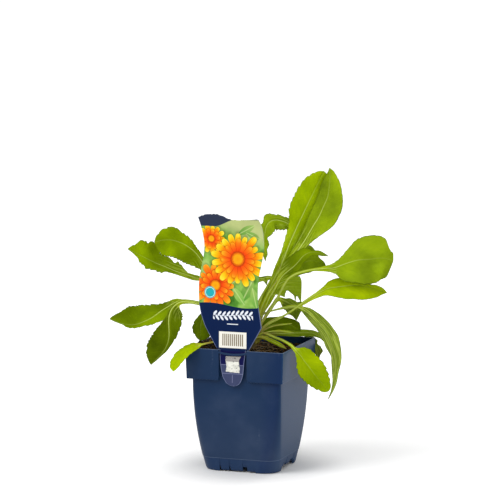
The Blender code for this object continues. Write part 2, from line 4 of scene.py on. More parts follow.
import bmesh
import bpy
import numpy as np
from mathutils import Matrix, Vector


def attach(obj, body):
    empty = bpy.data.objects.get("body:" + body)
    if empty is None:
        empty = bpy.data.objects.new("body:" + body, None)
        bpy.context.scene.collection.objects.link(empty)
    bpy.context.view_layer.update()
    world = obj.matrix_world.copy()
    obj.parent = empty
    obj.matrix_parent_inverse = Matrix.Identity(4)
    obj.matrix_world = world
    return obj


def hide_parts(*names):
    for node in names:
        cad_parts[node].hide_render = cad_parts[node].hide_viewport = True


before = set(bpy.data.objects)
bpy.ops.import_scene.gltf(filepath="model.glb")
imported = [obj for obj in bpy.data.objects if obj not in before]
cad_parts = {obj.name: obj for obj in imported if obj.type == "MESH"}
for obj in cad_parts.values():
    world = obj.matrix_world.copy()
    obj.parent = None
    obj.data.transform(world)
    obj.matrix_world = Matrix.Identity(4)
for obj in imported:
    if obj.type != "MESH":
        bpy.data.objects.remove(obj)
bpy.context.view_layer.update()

MM = 0.001

# ---------------------------------------------------------------- sizes, in millimetres

# The pot's wall, the band round its rim, and its floor
POT_HEIGHT, BAND_HEIGHT = 134.0, 33.5
BAND_LOW = POT_HEIGHT - BAND_HEIGHT
RIM_HALF, BAND_LOW_HALF, WALL_HALF = 55.0, 54.0, 49.8
WALL_FLARE, FOOT_CORNER, BAND_CORNER = 7.9, 18.5, 4.0
WALL, LEDGE, LEDGE_HEIGHT, FOOT_DRAW = 1.4, 0.35, 14.6, 1.2
FLOOR_LOW, FLOOR_TOP, BOSS_HALF = 6.5, 8.0, 13.0
STRAIGHT = 21.4  # half the flat part of a side that every level has
POLE = 0.02  # half width of a ring that closes a surface in its middle
# Gaps under the foot: where they are along a side, and how far up they reach
FOOT_SPAN, FOOT_GAP, SIDE_GAP = 21.0, 1.3, 4.0
NOTCH_X, NOTCH_TALL = (5.0, 10.4), 5.6
SLIT, SLIT_TALL, SLIT_X = 1.5, 4.8, (-20.8, -10.0)
SIDE_NOTCH, SIDE_NOTCH_TALL, SIDE_NOTCH_Y = 10.0, 6.2, (-10.0, 12.0)
GAP_EDGE = 0.03  # half the width of the step at a gap's end
# The label pocket in the front of the band, and the bar across its mouth
POCKET_X, POCKET_HALF, POCKET_ROUND = -1.8, 15.6, 2.8
POCKET_LIP, POCKET_BLEND = 0.7, 4.0
# Across the pocket's edge: millimetres outwards, share of the depth, and extra depth
POCKET_EDGE = [
    (1.1, 0.0, 0.0), (0.7, 0.0, 0.0), (0.5, 0.0, 0.01), (0.3, 0.0, 0.08), (0.1, 0.0, 0.25), (0.0, 0.0, 0.6),
    (-0.1, 1.0, -0.5), (-0.25, 1.0, -0.15), (-0.5, 1.0, -0.01), (-0.8, 1.0, 0.0), (-1.2, 1.0, 0.0),
]
BAR_TOP, BAR_SAG, BAR_TALL = 132.4, 2.0, 2.3
BAR_RINGS, BAR_SIDES = 31, 16
# The compost, and the crown that stands on it
SOIL_TOP, SOIL_MOUND, SOIL_INSET = 126.0, 1.0, WALL + 0.4
HEAP, HEAP_HEIGHT, HEAP_SPREAD = (-53.0, -10.0), 8.6, (12, 33)
SOIL_RINGS = 64
CRUMB_SIDES, CRUMB_LEVELS = 6, 4
FIBRE_SIDES, FIBRE_LEVELS = 3, 9
GAP = 0.3
CROWN_ACROSS, CROWN_RADIUS, CROWN_HEIGHT = -3.0, 9.0, 21.0
CROWN_FOOT = SOIL_TOP + SOIL_MOUND + GAP
CROWN_RINGS, CROWN_SIDES = 45, 96
# The label and its sticker
LABEL_THICK, LABEL_Y, LABEL_LEAN = 0.7, -52.3, radians(1.5)
LABEL_WAIST = POT_HEIGHT + GAP
TONGUE_ROWS, SHOULDER_ROWS, CARD_ROWS, TOP_ROWS = 26, 12, 90, 26
STICKER_ROWS, STICKER_COLUMNS = 30, 31
# The leaves, which are turned together round the pot's middle
PLANT_TURN = radians(19.4)
LEAF_THICK, LEAF_SKIN, BOWL = 0.9, 0.42, 0.1
STALK_FOOT, STALK_CLASP, PETIOLE_HALF, TIP_HALF, TIP_ROOM = 2.6, 9, 1.6, 0.3, 0.8
VEIN_STEP, VEIN_LEAN = 8.5, 1.15
TOOTH_STEPS, MOST_TEETH = (4.0, 8.0), 70
ROUTE_POINTS, LEAF_COLUMNS = 400, 31


# ---------------------------------------------------------------- meshes from grids

def finished(name, mesh, finish, replaced=()):
    """The piece that shows a mesh: its material, and its place on the body."""
    mesh.materials.append(finish)
    mesh.shade_smooth()
    piece = bpy.data.objects.new(name, mesh)
    bpy.context.scene.collection.objects.link(piece)
    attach(piece, "root")
    if replaced:
        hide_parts(*replaced)
    return piece


def grid_faces(rows, columns):
    """The quads of a grid of points, counted row by row. Its last column is joined to its first."""
    i = np.arange(rows - 1)[:, None]
    j = np.arange(columns)[None, :]
    k = (j + 1) % columns
    quads = [i * columns + j, i * columns + k, (i + 1) * columns + k, (i + 1) * columns + j]
    return np.stack(quads, axis=-1).reshape(-1, 4)


def paint(piece, name, values):
    """A value, or a vector of three, for each point of the piece."""
    values = np.asarray(values, np.float32)
    kind = "FLOAT_VECTOR" if values.ndim == 2 else "FLOAT"
    attribute = piece.data.attributes.new(name, kind, "POINT")
    attribute.data.foreach_set("vector" if values.ndim == 2 else "value", values.reshape(-1))


def closed_skin(name, rings, finish, replaced=(), marks=None, caps=True, angle=35.0):
    """One finished piece: a skin through rings of points, in millimetres, with a cap at either end.

    rings is rows by points round a ring by x, y, z. marks are values to paint on those points, by
    name. Points that meet are merged, and edges sharper than angle stay sharp, unless it is None."""
    rows, count = rings.shape[:2]
    mesh = bpy.data.meshes.new(name)
    mesh.from_pydata((rings.reshape(-1, 3) * MM).tolist(), [], grid_faces(rows, count).tolist())
    piece = finished(name, mesh, finish, replaced)
    for label, values in (marks or {}).items():
        shape = (rows, count) + np.shape(values)[2:]
        paint(piece, label, np.broadcast_to(values, shape).reshape(-1, *shape[2:]))
    bm = bmesh.new()
    bm.from_mesh(mesh)
    bm.verts.ensure_lookup_table()
    for first in (0, (rows - 1) * count) if caps else ():
        bm.faces.new(bm.verts[first:first + count])
    if angle is not None:
        bmesh.ops.remove_doubles(bm, verts=bm.verts, dist=2e-6)
        bmesh.ops.dissolve_degenerate(bm, edges=bm.edges, dist=1e-6)
    bmesh.ops.recalc_face_normals(bm, faces=bm.faces)
    bm.to_mesh(mesh)
    bm.free()
    mesh.shade_smooth()
    if angle is not None:
        mesh.set_sharp_from_angle(angle=radians(angle))


def ease(low, high, value):
    """Rises smoothly from 0 at low to 1 at high."""
    share = np.clip((value - low) / (high - low), 0.0, 1.0)
    return share * share * (3 - 2 * share)


def ripple(points, seed, scale, octaves=3):
    """Smooth noise between about -1 and 1: sums of sines along seeded directions, at rising rates."""
    chance = np.random.default_rng(seed)
    total = np.zeros(points.shape[:-1])
    for octave in range(octaves):
        rate = 2 ** octave / scale
        for _ in range(5):
            way = chance.normal(size=points.shape[-1])
            way *= rate * 2 * pi / np.linalg.norm(way) * chance.uniform(0.7, 1.3)
            total += np.sin(points @ way + chance.uniform(0, 2 * pi)) / 2 ** octave
    return total / 4.0


def spline(knots, values, at):
    """The natural cubic spline through values at knots, read at the places given."""
    gap = np.diff(knots)
    size = len(knots)
    system = np.eye(size)
    target = np.zeros_like(values)
    slope = np.diff(values, axis=0) / gap[:, None]
    for i in range(1, size - 1):
        system[i, i - 1:i + 2] = gap[i - 1], 2 * (gap[i - 1] + gap[i]), gap[i]
        target[i] = 6 * (slope[i] - slope[i - 1])
    bend = np.linalg.solve(system, target)
    i = np.clip(np.searchsorted(knots, at, side="right") - 1, 0, size - 2)
    width = gap[i][:, None]
    before = (at - knots[i])[:, None]
    after = (knots[i + 1] - at)[:, None]
    cubic = (bend[i] * after ** 3 + bend[i + 1] * before ** 3) / (6 * width)
    line_start = (values[i] / width - bend[i] * width / 6) * after
    line_end = (values[i + 1] / width - bend[i + 1] * width / 6) * before
    return cubic + line_start + line_end


def lengths(points):
    """How far along a chain of points each one lies."""
    return np.append(0.0, np.cumsum(np.linalg.norm(np.diff(points, axis=0), axis=1)))


def smooth_route(points, count):
    """count points evenly spaced along a smooth curve through the given ones, and its length."""
    knots = lengths(points)
    fine = spline(knots, np.array(points, float), np.linspace(0, knots[-1], count))
    along = lengths(fine)
    even = np.linspace(0, along[-1], count)
    return np.stack([np.interp(even, along, axis) for axis in fine.T], axis=1), along[-1]


def along_chain(points, at):
    """Points at the given shares of the length of a chain, which is smoothed between its ends."""
    knots = lengths(points)
    return spline(knots / knots[-1], np.array(points, float), at)


def unit(vectors):
    """Each vector at length 1."""
    return vectors / np.linalg.norm(vectors, axis=-1, keepdims=True)


# ---------------------------------------------------------------- finishes

def maths(operation):
    """A method of Value that adds one Math node."""
    return lambda self, *others: self.math(operation, *others)


class Value:
    """A socket in a node tree. Arithmetic on it adds Math nodes to the tree."""

    def __init__(self, nodes, socket):
        self.nodes = nodes
        self.socket = socket

    def math(self, operation, *others):
        sockets = dict(enumerate((self, *others)))
        return self.nodes.node("ShaderNodeMath", {"operation": operation}, sockets)

    def __rsub__(self, other):
        return self.nodes.node("ShaderNodeMath", {"operation": "SUBTRACT"}, {0: other, 1: self})

    __add__ = __radd__ = maths("ADD")
    __mul__ = __rmul__ = maths("MULTIPLY")
    __sub__ = maths("SUBTRACT")
    __truediv__ = maths("DIVIDE")
    __pow__ = maths("POWER")
    __abs__ = maths("ABSOLUTE")
    least = maths("MINIMUM")
    most = maths("MAXIMUM")
    floor = maths("FLOOR")
    sine = maths("SINE")
    root = maths("SQRT")

    def swing(self, step):
        """0.5 at every whole number of steps, falling evenly to 0 half way between two."""
        return abs((self / step).math("FRACT") - 0.5)


class Nodes:
    """A node tree that grows node by node."""

    def __init__(self, tree):
        self.tree = tree

    def node(self, kind, settings=None, sockets=None, output=0):
        """Adds a node: its settings first, then a value or a link for each socket."""
        made = self.tree.nodes.new(kind)
        for name, value in (settings or {}).items():
            if name == "stops":
                self.stops(made.color_ramp, value)
            else:
                setattr(made, name, value)
        for name, value in (sockets or {}).items():
            if isinstance(value, Value):
                self.tree.links.new(value.socket, made.inputs[name])
            else:
                made.inputs[name].default_value = value
        return Value(self, made.outputs[output])

    @staticmethod
    def stops(ramp, stops):
        """Sets a ramp's stops, each a place and an eight-bit screen colour."""
        while len(ramp.elements) > 1:
            ramp.elements.remove(ramp.elements[-1])
        ramp.elements[0].position = stops[0][0]
        ramp.elements[0].color = (*srgb(*stops[0][1]), 1.0)
        for place, colour in stops[1:]:
            ramp.elements.new(place).color = (*srgb(*colour), 1.0)

    def place(self):
        """Object coordinates, in metres."""
        return self.node("ShaderNodeTexCoord", output="Object")

    def painted(self, name, output="Fac"):
        """A value that is painted on the piece."""
        return self.node("ShaderNodeAttribute", {"attribute_name": name}, output=output)

    def split(self, vector):
        return [self.node("ShaderNodeSeparateXYZ", sockets={0: vector}, output=i) for i in range(3)]

    def join(self, x, y, z):
        return self.node("ShaderNodeCombineXYZ", sockets={0: x, 1: y, 2: z})

    def noise(self, vector, scale, detail=3.0):
        """Cloudy noise from 0 to 1, with finer octaves as detail rises."""
        sockets = {"Vector": vector, "Scale": scale, "Detail": detail, "Roughness": 0.55}
        return self.node("ShaderNodeTexNoise", sockets=sockets)

    def band(self, value, low, high):
        """Rises smoothly from 0 at low to 1 at high, or falls where low is the higher."""
        ends = (1.0, 0.0) if low > high else (0.0, 1.0)
        sockets = {"Value": value, "From Min": min(low, high), "From Max": max(low, high),
                   "To Min": ends[0], "To Max": ends[1]}
        return self.node("ShaderNodeMapRange", {"interpolation_type": "SMOOTHSTEP"}, sockets)

    def mix(self, share, first, second, blend="MIX"):
        """A colour between two, or one laid on the other by a blend."""
        pick = [(*colour, 1.0) if isinstance(colour, tuple) else colour for colour in (first, second)]
        settings = {"data_type": "RGBA", "blend_type": blend}
        return self.node("ShaderNodeMix", settings, {0: share, 6: pick[0], 7: pick[1]}, output=2)

    def lay(self, body, *layers):
        """Lays colours over body one by one: for each a share, and an eight-bit colour or a value."""
        for share, colour in layers:
            body = self.mix(share, body, colour if isinstance(colour, Value) else srgb(*colour))
        return body

    def ramp(self, value, stops):
        """A colour read off a row of stops."""
        return self.node("ShaderNodeValToRGB", {"stops": stops}, {0: value})

    def bump(self, height, strength, distance):
        """The normal of a surface raised by height, in shares of the distance."""
        sockets = {"Height": height, "Strength": strength, "Distance": distance}
        return self.node("ShaderNodeBump", sockets=sockets)

    def seen(self):
        """1 to the rays that see the bright room, and 0 to those that gather its light."""
        rays = ("Is Camera Ray", "Is Glossy Ray", "Is Transmission Ray")
        camera, glossy, through = [self.node("ShaderNodeLightPath", output=ray) for ray in rays]
        return camera.most(glossy).most(through)


class Finish(Nodes):
    """A material, made round one Principled shader."""

    def __init__(self, name, **constants):
        self.material = bpy.data.materials.new(name)
        self.material.use_nodes = True
        super().__init__(self.material.node_tree)
        self.shader = self.tree.nodes["Principled BSDF"]
        for socket, value in constants.items():
            self.shader.inputs[socket.replace("_", " ")].default_value = value

    def feed(self, **sockets):
        """Links what varies over the surface to the shader."""
        for name, value in sockets.items():
            self.tree.links.new(value.socket, self.shader.inputs[name.replace("_", " ")])
        return self.material


def srgb(red, green, blue):
    """A colour given as eight-bit screen values, as the linear values that shaders take."""
    parts = np.array([red, green, blue]) / 255
    linear = np.where(parts <= 0.04045, parts / 12.92, ((parts + 0.055) / 1.055) ** 2.4)
    return tuple(float(part) for part in linear)


# ---------------------------------------------------------------- pot finish

def pot_finish():
    """Satin navy polypropylene: faint moulding flow, a pale dusting low down, a few scuffs, a fine grain
    and a bluer foot. Light is painted on as well: the right flank is bluer where the light falls on it,
    with painted bounce light low down, painted shade darkens the front by its right corner, and painted
    highlights run along the rim's lip and the line of the foot."""
    plastic = Finish("navy_plastic", Specular_IOR_Level=0.1)
    place = plastic.place()
    x, y, z = plastic.split(place)
    z = z * 1000.0
    cloud = plastic.noise(place, 26.0)
    streak = plastic.noise(plastic.join(x * 130.0, y * 130.0, z * 0.012), 1.0)
    speck = plastic.noise(place, 800.0, 2.0)
    flank = plastic.painted("flank")
    foot = plastic.band(z - LEDGE_HEIGHT, 0.2, -0.8)
    # Pale clouds of dusting, a little more low down; low on the right flank the paleness is painted bounce
    # light from the floor
    dust_and_bounce_light = plastic.band(cloud, 0.45, 0.75) * 0.05 + plastic.band(z, 40.0, 4.0) * (flank * 0.1 + 0.01)
    scuff = plastic.band(streak, 0.66, 0.74) * plastic.band(speck, 0.45, 0.6) * 0.1
    # Painted highlights: a pale line along the rim's lip and another along the line of the foot
    rim = plastic.band(z, POT_HEIGHT - 0.7, POT_HEIGHT - 0.1) * 0.3
    edge_highlight = rim + plastic.band(abs(z - LEDGE_HEIGHT - 0.1), 0.55, 0.15) * 0.2
    body = plastic.lay(
        srgb(18, 42, 73),
        (cloud, (27, 50, 83)),
        # painted light: the right flank is tinted bluer, as it looks where the light falls on it
        (flank * 0.7, (26, 60, 98)),
        # painted shade: the front darkens just before its right corner
        (plastic.painted("corner") * 0.75, (8, 36, 76)),
        (plastic.band(z, 96.0, 30.0) * 0.05, (124, 134, 150)),
        (foot * 0.25, (16, 50, 94)),
        (dust_and_bounce_light, (120, 130, 146)),
        (scuff, (140, 150, 168)),
        (edge_highlight * plastic.band(streak, 0.2, 0.5), (132, 150, 180)))
    shine = 0.34 + dust_and_bounce_light * 0.9 + speck * 0.06
    height = speck * 0.25 + streak * 0.4
    return plastic.feed(Base_Color=body, Roughness=shine, Normal=plastic.bump(height, 0.1, 0.0004))


# ---------------------------------------------------------------- pot

def wall_half(height):
    """Half the pot's width at a height under the band: the wall flares in towards the foot."""
    return WALL_HALF - WALL_FLARE * (1 - height / BAND_LOW) ** 2.2


def wall_corner(height):
    """The radius of the wall's corners, which grows towards the foot."""
    return BAND_CORNER + (FOOT_CORNER - BAND_CORNER) * (1 - height / BAND_LOW) ** 1.6


def band_half(height):
    """Half the band's width at a height: it widens evenly up to the rim."""
    return BAND_LOW_HALF + (RIM_HALF - BAND_LOW_HALF) * (height - BAND_LOW) / BAND_HEIGHT


Row = namedtuple("Row", "half corner height pocket inner skirt")


def pot_rows():
    """The pot's section, from the middle of its underside round the wall to the middle of its floor.

    pocket is how far out the front stands inside the label pocket, inner is 1 on the inside of
    the wall, and skirt is 1 on the rows that the gaps under the foot lift."""
    rows = []

    def row(half, corner, height, pocket=RIM_HALF, inner=0.0, skirt=0.0):
        rows.append(Row(half, max(corner, 0.4), height, pocket, inner, skirt))

    # The underside, the inside of the skirt, and its bottom edge
    for share in (0.0, 0.5, 1.0):
        row(max(BOSS_HALF * share, POLE), 1.0, 0.0)
    row(BOSS_HALF, 1.0, FLOOR_LOW)
    row(wall_half(FLOOR_LOW) - WALL - LEDGE, wall_corner(FLOOR_LOW) - WALL, FLOOR_LOW)
    foot = wall_half(0) - FOOT_DRAW
    for height in (4.0, 2.0, 0.4):
        half = np.interp(height, (0, 2), (foot, wall_half(2) - LEDGE)) - WALL
        row(half, wall_corner(0) - WALL, height, inner=1.0, skirt=1.0)
    row(foot - WALL / 2, wall_corner(0) - WALL / 2, 0.0, skirt=1.0)
    # The outside: foot, wall, step under the band, band and rim
    for height in (0.5, 1.0, 2.0, 3.5, 5.0, 7.0, LEDGE_HEIGHT - LEDGE):
        draw = LEDGE + (FOOT_DRAW - LEDGE) * (1 - min(height, 2.0) / 2.0) ** 2
        row(wall_half(height) - draw, wall_corner(height) - draw, height, skirt=1.0)
    for height in np.linspace(LEDGE_HEIGHT, BAND_LOW, 34):
        row(wall_half(height), wall_corner(height), height)
    for out, rise in ((0.5, 0.0), (0.85, 0.0), (0.95, 0.12), (1.0, 0.5)):
        half = WALL_HALF + (band_half(BAND_LOW) - WALL_HALF) * out
        row(half, BAND_CORNER, BAND_LOW + rise, WALL_HALF)
    for height in np.linspace(BAND_LOW + 1.2, POT_HEIGHT - 0.6, 14):
        row(band_half(height), BAND_CORNER, height, WALL_HALF)
    for draw, drop in ((0.04, 0.3), (0.16, 0.1), (0.38, 0.0), (1.0, 0.0), (1.24, 0.1), (1.36, 0.3)):
        row(RIM_HALF - draw, BAND_CORNER - draw, POT_HEIGHT - drop, WALL_HALF - draw, draw / WALL)
    # The inside: band, wall and floor
    for height in np.linspace(POT_HEIGHT - 0.8, BAND_LOW + WALL, 10):
        row(band_half(height) - WALL, BAND_CORNER - WALL, height, WALL_HALF - WALL, 1.0)
    for height in np.linspace(BAND_LOW - 1, FLOOR_TOP, 14):
        row(wall_half(height) - WALL, wall_corner(height) - WALL, height, RIM_HALF, 1.0)
    for share in (0.5, 0.0):
        row(max(wall_half(FLOOR_TOP) * share, POLE), 1.0, FLOOR_TOP, inner=1.0)
    return rows


def gap_stations(gaps, pocket_edges=()):
    """Places along one side, with a close pair at each end of a gap, and how far the foot lifts there."""
    ends = sorted({end for low, high, _ in gaps for end in (low, high)})
    base = [x for x in np.linspace(-STRAIGHT, STRAIGHT, 20) if all(abs(x - end) > 0.8 for end in ends)]
    base = [x for x in base if all(abs(x - place) > 3.0 for place, _ in pocket_edges)]
    places = np.array(sorted(base + [end + nudge for end in ends for nudge in (-GAP_EDGE, GAP_EDGE)]))
    lifts = np.zeros(len(places))
    for low, high, tall in gaps:
        lifts = np.where((places > low) & (places < high), np.maximum(lifts, tall), lifts)
    return places, lifts


def pot_columns():
    """Columns round the pot: side, station, share of the way to the corner, turn round it, the
    front's depth into the pocket (share and extra millimetres), and the lift under the foot."""
    columns = []
    slits = [(x, x + SLIT, SLIT_TALL) for x in SLIT_X]
    front = [(-FOOT_SPAN, FOOT_SPAN - SLIT, FOOT_GAP), (*NOTCH_X, NOTCH_TALL)] + slits
    back = [(-high, -low, tall) for low, high, tall in front]
    across = [(y - SIDE_NOTCH / 2, y + SIDE_NOTCH / 2, SIDE_NOTCH_TALL) for y in SIDE_NOTCH_Y]
    right = [(-FOOT_SPAN, FOOT_SPAN, SIDE_GAP)] + across
    left = [(-high, -low, tall) for low, high, tall in right]
    for side, gaps in enumerate((front, right, back, left)):
        edges = [(POCKET_X + hand * POCKET_HALF, hand) for hand in (-1, 1)] if side == 0 else []
        places, lifts = gap_stations(gaps, edges)
        stations = []
        for place, lift in zip(places, lifts):
            deep = float(side == 0 and abs(place - POCKET_X) < POCKET_HALF)
            stations.append((side, place, 0.0, 0.0, deep, 0.0, lift))
        for place, hand in edges:
            lift = np.interp(place, places, lifts)
            for out, deep, more in POCKET_EDGE:
                stations.append((side, place + hand * out, 0.0, 0.0, deep, more, lift))
        stations.sort(key=lambda station: station[1])
        for share in (1.0, 0.66, 0.33):
            columns.append((side, -STRAIGHT, -share, 0.0, 0.0, 0.0, 0.0))
        columns += stations
        for share in (0.33, 0.66, 1.0):
            columns.append((side, STRAIGHT, share, 0.0, 0.0, 0.0, 0.0))
        for turn in np.linspace(0, pi / 2, 12)[1:-1]:
            columns.append((side, STRAIGHT, 1.0, turn, 0.0, 0.0, 0.0))
    return np.array(columns).T


def square_rings(rows, columns):
    """Rings of a rounded square section: each row gives its half width, corner, height and pocket,
    and each column a place round it, on a flat side or on the arc of a corner."""
    side, station, share, turn, deep, more, lift = columns
    half, corner, height, pocket, inner, skirt = [np.array(values)[:, None] for values in zip(*rows)]
    straight = half - corner
    x = station * np.minimum(1.0, straight / STRAIGHT) + share * np.maximum(straight - STRAIGHT, 0.0)
    y = -(half - corner * (1 - np.cos(turn)))
    x = x + corner * np.sin(turn)

    # The front is set back in the pocket, whose sides flare in a quarter round at the band's foot.
    inside = half > pocket + 0.5
    y = np.where(inside, -(half * (1 - deep) + pocket * deep) + more, y)
    off = x - POCKET_X
    rise = POCKET_ROUND - height + BAND_LOW
    flare = POCKET_ROUND - np.sqrt(np.clip(POCKET_ROUND ** 2 - rise ** 2, 0, None))
    flare = np.where(height > BAND_LOW + POCKET_ROUND, 0.0, flare) * (1 - inner) + WALL * inner
    knots = np.array([0.0, POCKET_HALF, POCKET_HALF + POCKET_LIP, POCKET_HALF + POCKET_BLEND])
    wider = off + np.sign(off) * np.interp(np.abs(off), knots, [0.0, 1.0, 1.0, 0.0]) * flare
    front = (side == 0) & (turn == 0) & (height >= BAND_LOW)
    x = np.where(front, wider + POCKET_X, x)
    z = height + skirt * lift * (1 - height / LEDGE_HEIGHT)

    c, s = np.cos(side * pi / 2), np.sin(side * pi / 2)
    return np.stack(np.broadcast_arrays(x * c - y * s, x * s + y * c, z), axis=-1)


def build_pot(finish):
    """The pot, and over the pocket's mouth the bar: a small rounded section carried along a
    sagging line."""
    columns = pot_columns()
    side, turn = columns[0], columns[3] * 2 / pi
    # flank rises round the front's right corner to 1 on the right side, where light is painted on; corner
    # marks the front near that corner, where painted shade darkens it
    flank = np.select([side == 0, side == 1], [turn, 1 - turn], 0.0)
    corner = (side == 0) * (columns[1] > 0) * ease(0.2, 1.0, columns[2]) * ease(0.75, 0.3, turn)
    closed_skin("pot", square_rings(pot_rows(), columns), finish, ["square_pot"],
                {"flank": flank, "corner": corner})

    across = np.linspace(-1, 1, BAR_RINGS)[:, None]
    turn = np.linspace(0, 2 * pi, BAR_SIDES + 1)[:-1][None, :]
    wide, tall = [np.sign(wave) * np.abs(wave) ** 0.5 for wave in (np.cos(turn), np.sin(turn))]
    x = POCKET_X + (POCKET_HALF + 0.8) * across
    y = -(RIM_HALF - 0.1 - WALL / 2) + wide * WALL / 2
    z = BAR_TOP - BAR_TALL / 2 - BAR_SAG * (1 - across ** 2) + tall * BAR_TALL / 2
    closed_skin("pocket_bar", np.stack(np.broadcast_arrays(x, y, z), axis=-1), finish)


# ---------------------------------------------------------------- compost

def compost_finish():
    """Moist peat: near-black brown, with rusty and straw-coloured fibres and crumbs."""
    peat = Finish("peat", Specular_IOR_Level=0.1)
    place = peat.place()
    lump = peat.noise(place, 180.0, 4.0)
    grit = peat.noise(place, 700.0)
    shade = peat.painted("shade")
    body = peat.lay(
        peat.ramp(lump, [(0.3, (4, 3, 1)), (0.52, (18, 13, 4)), (0.7, (52, 39, 12))]),
        (peat.band(grit, 0.58, 0.72) * 0.42, (138, 104, 36)),
        (shade.least(1.0) ** 1.6, (156, 110, 46)),
        (shade - 1.0, (226, 220, 190)))
    bump = peat.bump(lump + grit * 0.5, 0.9, 0.0012)
    return peat.feed(Base_Color=body, Roughness=0.75 + grit * 0.25, Normal=bump)


def soil_height(x, y):
    """The compost's top: a low mound with lumps of 1 to 2 mm, level with its edge at the walls, and
    a heap against the left wall."""
    away = np.maximum(np.abs(x), np.abs(y)) / RIM_HALF
    beside, along = (x - HEAP[0]) / HEAP_SPREAD[0], (y - HEAP[1]) / HEAP_SPREAD[1]
    heap = HEAP_HEIGHT * np.exp(-beside ** 2 - along ** 4)
    spot = np.stack(np.broadcast_arrays(x, y), axis=-1)
    lumps = ripple(spot, 5, 22.0) * 0.7 + ripple(spot, 6, 5.0, 2) * 0.55
    return SOIL_TOP + SOIL_MOUND * (1 - away ** 2) + lumps + heap


def build_compost(finish):
    """The compost fills the pot from its floor to the lumpy top, and crumbs and fibres lie on it."""
    rows = []

    def row(half, corner, height, pocket=RIM_HALF, inner=0):
        rows.append(Row(max(half, POLE), max(corner, POLE / 2), height, pocket, inner, 0))

    for share in (0.0, 0.6, 1.0):
        half, corner = wall_half(FLOOR_TOP) - SOIL_INSET, wall_corner(FLOOR_TOP) - SOIL_INSET
        row(half * share, corner * share, FLOOR_TOP + GAP)
    for height in np.linspace(16, BAND_LOW, 8):
        row(wall_half(height) - SOIL_INSET, wall_corner(height) - SOIL_INSET, height)
    pocket, corner = WALL_HALF - SOIL_INSET, BAND_CORNER - SOIL_INSET
    for height in np.linspace(BAND_LOW + SOIL_INSET, SOIL_TOP - 2, 4):
        row(band_half(height) - SOIL_INSET, corner, height, pocket, 1)
    sides = len(rows)
    for share in np.linspace(1, 0, SOIL_RINGS):
        row((band_half(SOIL_TOP) - SOIL_INSET) * share, corner * share, SOIL_TOP, pocket * share, share)
    rings = square_rings(rows, pot_columns())
    top = rings[sides:]
    top[..., 2] = soil_height(top[..., 0], top[..., 1])
    closed_skin("compost", rings, finish, ["root_ball"], {"shade": 0.0}, angle=60.0)

    chance = np.random.default_rng(31)
    scatter_crumbs(finish, chance, 900)
    scatter_fibres("peat_fibres", finish, chance, many=520, reach=50.0, length=(3, 13),
                   thick=(0.14, 0.36), arch=(0.2, 1.6), shade=(0.1, 0.9))
    scatter_fibres("stray_roots", finish, chance, many=46, reach=26.0, length=(12, 34),
                   thick=(0.12, 0.26), arch=(-4.0, -0.5), shade=(1.1, 1.5))


def places_on_soil(chance, many, reach, front, beside):
    """Seeded places on the compost, apart from those in and near the label pocket."""
    x, y = chance.uniform(-reach, reach, (2, many))
    keep = (y > front) | (np.abs(x - POCKET_X) > POCKET_HALF + beside)
    return x[keep], y[keep], np.count_nonzero(keep)


def strew(name, bits, groups, finish, shade):
    """One piece out of many bits: bits is bit by point by x, y, z, and groups are the faces of one."""
    many, size = bits.shape[:2]
    first = np.arange(many)[:, None, None] * size
    faces = [face for group in groups for face in (first + group).reshape(-1, group.shape[1]).tolist()]
    mesh = bpy.data.meshes.new(name)
    mesh.from_pydata((bits.reshape(-1, 3) * MM).tolist(), [], faces)
    paint(finished(name, mesh, finish), "shade", np.repeat(shade, size))


def scatter_crumbs(finish, chance, many):
    """Crumbs: a six-by-four ball with seeded radii, stretched, turned and set on the compost."""
    around = np.linspace(0, 2 * pi, CRUMB_SIDES + 1)[:-1]
    rise = np.linspace(-pi / 2, pi / 2, CRUMB_LEVELS + 2)[1:-1, None]
    ball = np.broadcast_arrays(np.cos(rise) * np.cos(around), np.cos(rise) * np.sin(around), np.sin(rise))
    ball = np.vstack([np.stack(ball, axis=-1).reshape(-1, 3), (0, 0, -1), (0, 0, 1)])
    south, last = len(ball) - 2, (CRUMB_LEVELS - 1) * CRUMB_SIDES
    turns = [(i, (i + 1) % CRUMB_SIDES) for i in range(CRUMB_SIDES)]
    below = np.array([(south, after, i) for i, after in turns])
    above = np.array([(south + 1, last + i, last + after) for i, after in turns])

    x, y, many = places_on_soil(chance, many, 51, -47, 2)
    size = chance.uniform(0.35, 1.5, many) ** 1.3
    radii = chance.uniform(0.7, 1.15, (many, len(ball), 1))
    stretch = chance.uniform(0.6, 1.3, (many, 1, 3)) * size[:, None, None]
    turn = chance.uniform(0, 2 * pi, many)[:, None]
    c, s = np.cos(turn), np.sin(turn)
    bx, by, bz = np.moveaxis(ball * radii * stretch, -1, 0)
    bits = np.stack([bx * c - by * s, bx * s + by * c, bz], axis=-1)
    bits += np.stack([x, y, soil_height(x, y) + size * 0.3], axis=-1)[:, None]
    shade = chance.uniform(0, 1, many) ** 3 * 0.8
    strew("peat_crumbs", bits, [grid_faces(CRUMB_LEVELS, CRUMB_SIDES), below, above], finish, shade)


